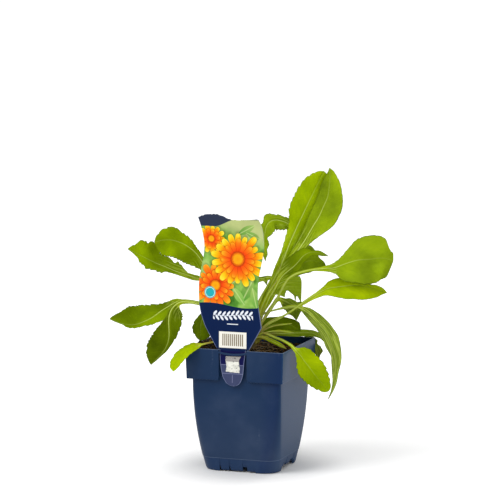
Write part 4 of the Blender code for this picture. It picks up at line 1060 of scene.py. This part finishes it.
def build_leaf(name, leaf, finish, seed, replaced=()):
    """A leaf as a closed skin: its cross-section ring runs over the top of the blade from the
    left edge to the right one and back under it, and is carried from the seat to the tip."""
    look = leaf.look
    t, length, spine, side, up = leaf_frame(leaf)
    along = t * length
    halves = [toothed(margin(pairs, length, along), along, look.teeth, seed + k)
              for k, pairs in enumerate((leaf.left, leaf.right or leaf.left))]
    steps = np.linspace(-1, 1, LEAF_COLUMNS)
    share = np.sign(steps) * np.abs(steps) ** 0.85
    half = np.where(share < 0, *halves)
    across = share * half
    far = np.abs(across)
    # Stalk is 1 where the leaf is a stalk and 0 on the blade. Strap falls off further out.
    wide = (halves[0] + halves[1]) / 2
    stalk = 1 - np.maximum.accumulate(ease(2.0, 6.5, wide), axis=0)
    strap = (1 - np.maximum.accumulate(ease(4.0, 12.0, wide), axis=0)) * min(1.0, look.rib * 1.4)

    # The top: folded at the midrib, bowed, waved, quilted between its side veins, and grooved.
    spot = np.stack(np.broadcast_arrays(along, across), axis=-1)
    swell = ripple(spot, seed + 7, 46.0, 2) * look.wave * 1.5 * (1 - stalk)
    frill = 0.9 * look.wave * np.sin(along / 6.0 + share * 1.3 + seed) * share ** 4 * ease(5, 14, half)
    run = along - far * VEIN_LEAN + ripple(spot, seed + 8, 30.0, 2) * 2.5
    quilt = 0.22 * np.abs(np.sin(run * pi / VEIN_STEP)) * ease(1.0, 5.0, far) * (1 - np.abs(share) ** 3)
    groove = -0.6 * np.exp(-(across / 0.9) ** 2) * (1 - stalk * 0.4)
    bowl = -BOWL * far * np.abs(share)
    lift = far * sin(radians(leaf.fold)) + bowl + frill + quilt + groove + swell
    aside = across * cos(radians(leaf.fold))
    top = spine[:, None] + side[:, None] * aside[..., None] + up[:, None] * lift[..., None]

    # The underside: a thin sheet with the midrib standing out, or the round of the stalk.
    sheet = LEAF_SKIN * np.sqrt(np.clip(1 - share ** 4, 0, 1)) * (1 - stalk)
    rib = (1.6 - 1.2 * t) * np.exp(-(across / 1.2) ** 2) * (1 - stalk)
    round_stalk = 1.25 * np.minimum(wide, 2.2) * np.sqrt(np.clip(1 - share ** 2, 0, 1)) * stalk
    under = top - up[:, None] * (sheet + rib + round_stalk)[..., None]
    rings = plant_to_pot(np.concatenate([top, under[:, -2:0:-1]], axis=1))

    # Painted light and shade: one half of the blade is painted paler than the other, more so towards its
    # margin, by amounts that change from the foot to the tip.
    slant = look.slant[0] + (look.slant[1] - look.slant[0]) * t
    tone = look.tone + 0.13 * ripple(spot, seed + 3, 40.0, 2) + slant * share * (1 - stalk)
    rib_shown = look.rib * (1 - 0.85 * ease(0.6, 0.93, t))
    order = np.r_[0:LEAF_COLUMNS, LEAF_COLUMNS - 2:0:-1]
    marks = {"stalk": stalk, "strap": strap, "rib_half": 0.5 + 1.1 * (1 - ease(0.05, 0.6, t)),
             "below": np.arange(len(order)) >= LEAF_COLUMNS}
    for label, parts in (("flow", (along, across, half)), ("look", (tone, rib_shown, look.grey))):
        marks[label] = np.stack(np.broadcast_arrays(*parts), axis=-1)[:, order]
    closed_skin(name, rings, finish, replaced, marks, angle=None)


# ---------------------------------------------------------------- crown

def crown_finish():
    """Clasping stalk bases: pale green ribs that turn dusky purple and brown towards the compost."""
    fibre = Finish("crown_fibre", Specular_IOR_Level=0.25)
    place = fibre.place()
    x, y, z = fibre.split(place)
    strand = fibre.noise(fibre.join(x * 900.0, y * 900.0, z * 70.0), 1.0)
    patch = fibre.noise(place, 160.0, 2.0)
    low = fibre.band(z + (patch - 0.5) * 0.012, 0.143, 0.129)
    body = fibre.lay(srgb(84, 92, 30), (strand, (160, 170, 84)), (low * 0.8, (92, 62, 40)))
    bump = fibre.bump(strand, 0.8, 0.0008)
    return fibre.feed(Base_Color=body, Roughness=0.6 + strand * 0.25, Normal=bump)


def build_crown(finish):
    """The crown: a dome whose radius follows an ellipse upwards, with ribs that wind slowly round
    it, as sines of the angle and the height, where stalk bases clasp it."""
    angle = np.linspace(0, 2 * pi, CROWN_SIDES + 1)[:-1][None, :]
    rise = np.append(np.linspace(0, 0.98, CROWN_RINGS - 1), 0.9995)[:, None]
    ribs = 0.06 * np.sin(9 * angle + 3 * rise) + 0.05 * np.sin(5 * angle - 4 * rise + 1.0)
    radius = CROWN_RADIUS * np.sqrt(1 - rise ** 2) * (0.93 + ribs * (1 - rise ** 4))
    x = CROWN_ACROSS + radius * np.cos(angle)
    y = radius * np.sin(angle)
    z = CROWN_FOOT - 1.0 + rise * (CROWN_HEIGHT + 0.5)
    rings = plant_to_pot(np.stack(np.broadcast_arrays(x, y, z), axis=-1))
    closed_skin("crown_heart", rings, finish, ["crown"], angle=60.0)


# ---------------------------------------------------------------- label and sticker

# (x, height) up each long edge of the label, along its top, and up either side of its tongue
LABEL_RIGHT = [
    (16.4, 134.8), (30.0, 159.0), (28.0, 172.0), (26.0, 184.5), (25.5, 197.0), (26.5, 212.0), (29.0, 225.0),
    (31.0, 235.5), (32.0, 246.0), (31.5, 254.0), (30.5, 262.0), (28.5, 268.0), (25.0, 274.0),
]
LABEL_LEFT = [
    (-20.3, 134.8), (-33.5, 158.0), (-39.0, 174.0), (-40.5, 184.5), (-41.0, 195.0), (-40.5, 208.0),
    (-38.5, 219.5), (-36.0, 231.5), (-35.0, 241.0), (-35.5, 249.5), (-37.0, 257.0), (-39.5, 266.0),
    (-42.5, 274.0),
]
LABEL_TOP = [
    (-42.5, 274.0), (-39.0, 275.5), (-34.5, 277.0), (-29.0, 277.5), (-23.0, 278.0), (-17.5, 277.0),
    (-12.0, 275.0), (-6.5, 273.0), (-2.0, 272.5), (5.0, 272.5), (16.0, 273.0), (25.0, 274.0),
]
TONGUE_LEFT = [
    (-0.5, 95.3), (-3.5, 95.5), (-6.0, 96.5), (-9.0, 98.0), (-11.0, 101.0), (-13.0, 104.0), (-14.0, 107.5),
    (-16.0, 118.0), (-16.7, 128.5), (-17.0, LABEL_WAIST),
]
TONGUE_RIGHT = [
    (-0.5, 95.3), (2.5, 96.0), (5.0, 97.5), (7.0, 100.0), (8.5, 103.5), (9.5, 107.0), (10.0, 110.5),
    (10.5, 117.5), (11.5, 126.0), (12.8, LABEL_WAIST),
]
TIP_REACH = 101.0  # below this height the tongue's tip may be the nearest edge
STICKER_LEFT = [(-9.7, 110.7), (-9.0, 117.5), (-10.0, 124.0), (-9.6, 127.3)]
STICKER_RIGHT = [(5.6, 109.8), (5.5, 117.5), (5.2, 123.0), (7.2, 127.4)]


def label_sheet():
    """The label's flat shape: rows of (x, height) from the tongue's tip to the top edge, across
    from the left edge to the right one, and the distance of each point to the edge."""
    share = np.sin(np.linspace(0, pi / 2, TONGUE_ROWS)) ** 1.4
    rows = [(along_chain(TONGUE_LEFT, share), along_chain(TONGUE_RIGHT, share))]
    left, right, top = np.array(LABEL_LEFT), np.array(LABEL_RIGHT), np.array(LABEL_TOP)
    # The slanting shoulder is straight, and above it each edge is one smooth curve.
    ramp = np.linspace(0, 1, SHOULDER_ROWS)[:-1, None]
    rows.append((left[0] + (left[1] - left[0]) * ramp, right[0] + (right[1] - right[0]) * ramp))
    share = np.linspace(0, 1, CARD_ROWS)
    rows.append((along_chain(left[1:], share), along_chain(right[1:], share)))
    left, right = [np.concatenate(parts) for parts in zip(*rows)]
    u = np.concatenate([[0, 0.004, 0.012], np.linspace(0.03, 0.97, 33), [0.988, 0.996, 1]])[:, None]
    sheet = left[:, None] * (1 - u) + right[:, None] * u
    lift = spline(top[:, 0], top[:, 1:], sheet[-1, :, 0])[:, 0] - sheet[-1, :, 1]
    late = ease(len(sheet) - TOP_ROWS, len(sheet) - 1, np.arange(len(sheet)))[:, None]
    sheet[..., 1] += lift * late
    wide = np.linalg.norm(right - left, axis=1)[:, None]
    edge = np.minimum(u[:, 0], 1 - u[:, 0]) * wide * 0.92
    above = spline(top[:, 0], top[:, 1:], np.clip(sheet[..., 0].reshape(-1), top[0, 0], top[-1, 0]))
    edge = np.minimum(edge, np.abs(above.reshape(edge.shape) - sheet[..., 1]))
    tip = np.linalg.norm(sheet - sheet[0, 0], axis=-1)
    return sheet, np.where(sheet[..., 1] < TIP_REACH, np.minimum(edge, tip), edge)


def stand_up(flat, out):
    """(x, height) in the label's plane, and millimetres in front of it, in the pot's frame."""
    c, s = cos(LABEL_LEAN), sin(LABEL_LEAN)
    rise = flat[..., 1] - POT_HEIGHT
    y = LABEL_Y + rise * s - out * c
    z = POT_HEIGHT + rise * c + out * s
    return np.stack([flat[..., 0], y, z], axis=-1)


def build_label(finish):
    """A thin sheet as one closed ring per row: its face, then its back. It bows by a hair."""
    sheet, edge = label_sheet()
    rise = (sheet[..., 1] - POT_HEIGHT) / (LABEL_TOP[0][1] - POT_HEIGHT)
    bow = 0.5 * np.sin(np.clip(rise, 0, 1) * pi) * (1 - (sheet[..., 0] / 45) ** 2)
    half = LABEL_THICK / 2 * np.clip(edge / 0.25, 0, 1) ** 0.5
    face, back = stand_up(sheet, half + bow), stand_up(sheet, bow - half)
    columns = face.shape[1]
    rings = np.concatenate([face, back[:, -2:0:-1]], axis=1)
    marks = {"edge": np.concatenate([edge, edge[:, -2:0:-1]], axis=1),
             "face": np.arange(rings.shape[1]) < columns}
    closed_skin("picture_label", rings, finish, ["plant_label"], marks,
                caps=False, angle=60.0)


class Print(Finish):
    """A printed card, drawn with shader maths in millimetres: x across, z up."""

    def __init__(self, name, **constants):
        super().__init__(name, **constants)
        x, _, z = self.split(self.place())
        self.x, self.z = x * 1000.0, z * 1000.0

    def near(self, value, middle, half, soft):
        """1 where a value is within half of the middle, fading out over the last soft part."""
        return self.band(abs(value - middle), half, half - soft)

    def under(self, value, level):
        """1 where a value is below a level and 0 above it, with an edge 0.4 mm soft."""
        return self.band(value, level + 0.2, level - 0.2)

    def away(self, x, z):
        """Distance from a point."""
        across, up = self.x - x, self.z - z
        return (across * across + up * up).root()

    def chance(self, value, seed):
        """A random number from 0 to 1 for each whole number."""
        return self.node("ShaderNodeTexWhiteNoise", {"noise_dimensions": "1D"}, {"W": value + seed})

    def petals(self, below, x, z, radius, count, seed, stops, wide, turn):
        """One ring of round-ended petals with seeded lengths, laid on the colour below it."""
        angle = (self.z - z).math("ARCTAN2", self.x - x) / (2 * pi) + 0.5 + turn
        sector = angle * count
        number = sector.floor()
        aside = abs(sector - number - 0.5) * 2.0
        share = self.away(x, z) / ((self.chance(number, seed) * 0.22 + 0.82) * radius)
        limit = 1.0 - (aside / (2 * wide)) ** 3.0 * 0.42
        streak = self.noise(self.join(angle * count * 5.0, share * 1.6, number * 7.3), 1.0, 2.0)
        tint = share + (streak - 0.5) * 0.34 + (self.chance(number, seed + 9.0) - 0.5) * 0.12
        crease = self.band(abs(aside - 0.3), 0.09, 0.0) * self.band(share, 1.0, 0.4)
        colour = self.lay(
            self.ramp(tint, stops),
            (self.band(aside, 0.62, 1.0) * 0.55, (206, 58, 4)),
            (crease * 0.2, (236, 98, 6)))
        halo = self.band(share - limit, 0.14, 0.0) * 0.45
        below = self.mix(halo, below, (0.35, 0.3, 0.22), "MULTIPLY")
        inside = self.band(limit - share, 0.0, 0.035) * self.band(share, 0.1, 0.2)
        return self.lay(below, (inside, colour))

    def bloom(self, picture, x, z, radius, count, seed, outer, inner):
        """Two rings of petals, the inner one narrower and turned a little, round a dotted eye."""
        picture = self.petals(picture, x, z, radius, count, seed, outer, 0.56, 0.0)
        picture = self.petals(picture, x, z, radius * 0.7, count - 3, seed + 31.0, inner, 0.5, 0.4 / count)
        dots = self.noise(self.join(self.x * 0.9, self.z * 0.9, 0.0), 1.0, 2.0)
        share = self.away(x, z) / (radius * 0.27) + (dots - 0.5) * 0.35
        return self.lay(picture, (self.band(share, 1.04, 0.92), self.ramp(share, EYE)))

    def sprig(self, below, x, z, length, wide, turn, colour):
        """A pointed leaf lying at an angle, with a pale rib."""
        across, up = self.x - x, self.z - z
        run = (across * cos(turn) + up * sin(turn)) / length
        off = abs(up * cos(turn) - across * sin(turn)) / wide
        shape = 1.0 - run * run * 4.0 - off * 2.0
        lit = self.lay(
            srgb(*colour),
            (self.band(run, -0.5, 0.5) * 0.35, (206, 220, 130)),
            (self.band(off, 0.09, 0.03) * 0.4, (220, 232, 160)))
        return self.lay(below, (self.band(shape, 0.0, 0.06), lit))

    def garland(self, x, z, half):
        """A waving stem with a slanted oval leaf above it, then one below it, at every step."""
        across = self.x - x
        up = self.z - z - (across * 0.14).sine() * 0.9
        drawn = self.band(abs(up), 0.42, 0.2)
        for shift, side in ((0.0, 1.0), (0.5, -1.0)):
            step = ((across / GARLAND_STEP + 20.5 + shift).math("FRACT") - 0.5) * GARLAND_STEP
            rise = up * side - 2.5
            run = (step * 0.64 + rise * 0.77) / 2.9
            off = (rise * 0.64 - step * 0.77) / 1.25
            drawn = drawn.most(self.band(run * run + off * off, 1.08, 0.9))
        return drawn * self.near(across, 0.0, half, 0.3)


FIELD = [(0.3, (58, 112, 34)), (0.45, (92, 150, 52)), (0.58, (140, 184, 84)), (0.72, (176, 204, 128))]
SUNNY = [(0.2, (196, 34, 8)), (0.45, (236, 84, 8)), (0.66, (248, 140, 10)), (0.82, (252, 196, 20)),
         (1.0, (255, 226, 60))]
EMBER = [(0.2, (206, 34, 12)), (0.5, (240, 78, 16)), (0.78, (250, 122, 20)), (1.0, (252, 176, 36))]
EYE = [(0.0, (238, 150, 16)), (0.5, (246, 168, 20)), (0.8, (214, 90, 12)), (1.0, (170, 38, 10))]
# x, z, radius, petals, seed, outer and inner colours
BLOOMS = [
    (-27.0, 251.5, 16.5, 13, 3.0, SUNNY, EMBER),
    (-22.0, 202.0, 25.0, 15, 5.0, EMBER, EMBER),
    (3.0, 231.0, 31.0, 18, 8.0, SUNNY, EMBER),
]
# x, z, length, width, turn, colour
SPRIGS = [
    (12.0, 262.0, 22.0, 8.0, 0.5, (96, 150, 60)), (20.0, 256.0, 18.0, 7.0, -0.4, (110, 160, 70)),
    (14.0, 198.0, 30.0, 11.0, 1.1, (84, 146, 50)), (4.0, 192.0, 24.0, 9.0, 2.2, (120, 176, 76)),
    (22.0, 190.0, 24.0, 9.0, 1.8, (104, 164, 62)), (-2.0, 206.0, 26.0, 9.0, 0.8, (98, 158, 60)),
]
DISC_PLACE, DISC_RADIUS = (-28.0, 194.5), 6.6
GARLAND_PLACE, GARLAND_HALF, GARLAND_STEP = (-2.0, 171.0), 22.5, 5.0
RULE_PLACE, RULE_HALF = (-2.4, 161.6), 6.4
PANEL_X, PANEL_Z, PANEL_HALF, PANEL_TALL = -2.2, 144.7, 15.5, 8.8
STRIPE_STEP, STRIPES_HALF, STRIPES_TALL = 2.2, 12.2, 6.4
# Heights where one field of the label gives way to the next
NAVY_TOP, CAP_FOOT, CARD_FOOT, SLATE_TOP, SLATE_RULE = 181.4, 264.8, 133.0, 118.0, 108.7


def label_picture(card):
    """Round-petalled blooms, leaf sprigs and a teal disc, on soft green that pales towards the top."""
    x, z = card.x, card.z
    blur = card.noise(card.join(x * 0.045, z * 0.045, 0.0), 1.0)
    sky = card.band(z + x * 0.35, 248.0, 268.0)
    picture = card.lay(card.ramp(blur, FIELD), (sky * 0.8, (190, 194, 132)))
    for sprig in SPRIGS:
        picture = card.sprig(picture, *sprig)
    for bloom in BLOOMS:
        picture = card.bloom(picture, *bloom)
    away = card.away(*DISC_PLACE)
    disc = card.lay(srgb(36, 168, 176), (card.near(away, DISC_RADIUS * 0.78, 0.5, 0.3), (196, 236, 232)))
    return card.lay(picture, (card.band(away, DISC_RADIUS, DISC_RADIUS - 0.5), disc))


def label_panel(card):
    """Where the pale panel is, and its colour: even stripes on paper."""
    x, z = card.x, card.z
    stripe = card.band(x.swing(STRIPE_STEP), 0.2, 0.25)
    stripe = stripe * card.near(x, PANEL_X, STRIPES_HALF, 0.2) * card.near(z, PANEL_Z, STRIPES_TALL, 0.2)
    panel = card.near(x, PANEL_X, PANEL_HALF, 0.25) * card.near(z, PANEL_Z, PANEL_TALL, 0.25)
    return panel, card.lay(srgb(236, 234, 224), (stripe, (122, 108, 82)))


def label_tongue(card):
    """The tongue: dark above, slate and finely lined below."""
    x, z = card.x, card.z
    hatch = card.band(x.swing(1.3), 0.3, 0.1) * 0.22
    slate = card.lay(srgb(57, 64, 96), (hatch, (93, 100, 132)))
    post = card.near(x, -2.3, 0.5, 0.3) * card.band(z, 107.4, 107.0) * card.band(z, 98.6, 99.0)
    rules = card.near(z, SLATE_TOP, 0.5, 0.3).most(card.near(z, SLATE_RULE, 0.5, 0.3)).most(post)
    return card.lay(srgb(12, 14, 66), (card.under(z, SLATE_TOP), slate), (rules * 0.5, (140, 144, 180)))


def label_back(card, navy):
    """The back: pale card with a navy foot and a few plain rules."""
    x, z = card.x, card.z
    ruled = card.band(z.swing(6.0), 0.06, 0.03) * card.near(x, -4.0, 22.0, 0.5)
    ruled = ruled * card.band(z, 190.0, 190.5) * card.band(z, 250.0, 249.5)
    return card.lay(srgb(226, 228, 222), (ruled * 0.5, (90, 104, 140)), (card.band(z, 160.0, 159.5), navy))


def label_finish():
    """A printed card: its picture stands between navy fields, over a pale panel and the tongue."""
    card = Print("label_print", Specular_IOR_Level=0.06)
    x, z = card.x, card.z
    navy = card.mix(card.noise(card.place(), 60.0, 2.0) * 0.3, srgb(4, 26, 66), srgb(16, 38, 82))
    lower = card.under(z + ((x + 8.0) * 0.075).sine() * 2.2, NAVY_TOP)
    cap = card.under(CAP_FOOT + card.band(x, -24.0, 1.0) * 8.0 - z, 0.0)
    # A garland of small leaves and a fine rule stand where a label would have its words.
    garland = card.garland(*GARLAND_PLACE, GARLAND_HALF)
    rule = card.near(z, RULE_PLACE[1], 0.6, 0.25) * card.near(x, RULE_PLACE[0], RULE_HALF, 0.4)
    edge = card.band(card.painted("edge"), 0.85, 0.5) * (card.band(z, 184.0, 176.0) * 0.6 + 0.12)
    front = card.lay(
        label_picture(card),
        (lower, navy),
        (cap, (44, 52, 72)),
        (garland.most(rule) * lower, (226, 232, 240)),
        label_panel(card),
        (card.under(z, CARD_FOOT), label_tongue(card)),
        (edge, (124, 134, 170)))
    colour = card.lay(label_back(card, navy), (card.band(card.painted("face"), 0.4, 0.6), front))
    return card.feed(Base_Color=colour, Roughness=0.28 + card.noise(card.place(), 250.0, 2.0) * 0.14)


def build_sticker(finish):
    """A torn, crumpled scrap of paper on the tongue: its outline is drawn in to a grid whose
    points stand out from the tongue by seeded creases."""
    share = np.linspace(0, 1, STICKER_ROWS)
    left, right = [along_chain(side, share)[:, None] for side in (STICKER_LEFT, STICKER_RIGHT)]
    u = np.linspace(0, 1, STICKER_COLUMNS)[:, None]
    flat = left * (1 - u) + right * u
    torn = np.random.default_rng(77).normal(0, 0.18, flat.shape)
    rim = np.zeros(flat.shape[:2])
    rim[[0, -1]] = 1
    rim[:, [0, -1]] = 1
    flat = flat + torn * rim[..., None]
    crease = 1 - np.abs(ripple(flat, 12, 7.0, 2))
    face = stand_up(flat, LABEL_THICK / 2 + 0.18 + 0.34 * crease * (1 - rim))
    back = stand_up(flat, LABEL_THICK / 2 + 0.03)
    closed_skin("torn_sticker", np.concatenate([face, back[:, ::-1]], axis=1), finish,
                ["label_sticker"])


def sticker_finish():
    """White paper with a greyer head, grey creases and a few dark flecks."""
    paper = Finish("sticker_paper", Specular_IOR_Level=0.3)
    place = paper.place()
    _, _, z = paper.split(place)
    wrinkle = paper.noise(place, 330.0)
    fleck = paper.band(paper.noise(place, 520.0, 1.0), 0.64, 0.68)
    body = paper.lay(
        srgb(232, 232, 222),
        (paper.band(wrinkle, 0.4, 0.65) * 0.5, (186, 186, 176)),
        (paper.band(z, 0.1214, 0.1218), (158, 154, 150)),
        (fleck * 0.8, (58, 56, 66)))
    bump = paper.bump(wrinkle, 0.6, 0.0006)
    return paper.feed(Base_Color=body, Roughness=0.7 + wrinkle * 0.2, Normal=bump)


# ---------------------------------------------------------------- room, lights and camera

CAMERA_TURN, CAMERA_TILT, CAMERA_AWAY, CAMERA_LENS = radians(19.4), radians(9.15), 2.8, 187.3
CAMERA_PIVOT, CAMERA_AIM_SIDE, CAMERA_AIM_HEIGHT = 0.150, -0.0012, 0.2344
LAMP_AIM = (0.0, 0.0, 0.16)
FLOOR_REACH = 30.0
ROOM_LIGHT, ROOM_SEEN = 0.48, 1.0  # the room's strength as light, and as it is seen


def stand(name, data, place, aim):
    """A lamp or a camera that looks from its place to its aim."""
    made = bpy.data.objects.new(name, data)
    made.location = place
    made.rotation_euler = (Vector(aim) - Vector(place)).to_track_quat("-Z", "Y").to_euler()
    bpy.context.scene.collection.objects.link(made)
    return made


def lamp(name, energy, size, place):
    """A round soft lamp."""
    data = bpy.data.lights.new(name, "AREA")
    data.energy = energy
    data.shape = "DISK"
    data.size = size
    stand(name, data, place, LAMP_AIM)


def floor_finish():
    """A pale floor that glows faintly where it is seen, more so away from the pot."""
    pale = Finish("pale_floor", Base_Color=(0.86, 0.86, 0.86, 1.0), Roughness=0.9, Emission_Strength=1.0)
    x, y, _ = pale.split(pale.place())
    away = (x * x + y * y).root()
    bright = pale.band(away, 0.045, 0.12) * 0.3 + pale.band(away, 0.1, 0.6) * 0.3
    return pale.feed(Emission_Color=pale.seen() * bright)


def build_studio():
    """A bright even room, a pale floor and three soft lamps."""
    scene = bpy.context.scene
    scene.view_settings.view_transform = "Standard"
    world = bpy.data.worlds.new("studio")
    scene.world = world
    world.use_nodes = True
    room = Nodes(world.node_tree)
    background = room.tree.nodes["Background"]
    background.inputs["Color"].default_value = (1.0, 1.0, 1.0, 1.0)
    bright = room.seen() * (ROOM_SEEN - ROOM_LIGHT) + ROOM_LIGHT
    room.tree.links.new(bright.socket, background.inputs["Strength"])

    corners = [(x * FLOOR_REACH, y * FLOOR_REACH, 0.0) for x, y in ((-1, -1), (1, -1), (1, 1), (-1, 1))]
    mesh = bpy.data.meshes.new("floor")
    mesh.from_pydata(corners, [], [(0, 1, 2, 3)])
    mesh.materials.append(floor_finish())
    floor = bpy.data.objects.new("floor", mesh)
    scene.collection.objects.link(floor)

    lamp("key_light", 38.0, 1.6, (-1.1, -1.5, 1.9))
    lamp("fill_light", 16.0, 1.6, (1.7, -2.0, 0.6))
    lamp("rear_light", 10.0, 1.2, (0.6, 1.7, 1.6))


def build_camera():
    """The camera stands 2.8 m off, a little to the right and above, as the plant is seen."""
    data = bpy.data.cameras.new("camera")
    data.lens = CAMERA_LENS
    data.sensor_width = 36.0
    c, s = cos(CAMERA_TURN), sin(CAMERA_TURN)
    level, rise = CAMERA_AWAY * cos(CAMERA_TILT), CAMERA_AWAY * sin(CAMERA_TILT)
    place = (level * s, -level * c, CAMERA_PIVOT + rise)
    aim = (CAMERA_AIM_SIDE * c, CAMERA_AIM_SIDE * s, CAMERA_AIM_HEIGHT)
    bpy.context.scene.camera = stand("camera", data, place, aim)


# ---------------------------------------------------------------- the whole

build_studio()
build_camera()
green = leaf_finish()
for number, (name, leaf) in enumerate(LEAVES.items()):
    build_leaf(name.removeprefix("leaf_") + "_leaf", leaf, green, 100 + 10 * number, [name])
for number, (name, leaf) in enumerate(SHOOTS.items()):
    build_leaf(name, leaf, green, 400 + 10 * number)
build_crown(crown_finish())
build_pot(pot_finish())
build_compost(compost_finish())
build_label(label_finish())
build_sticker(sticker_finish())
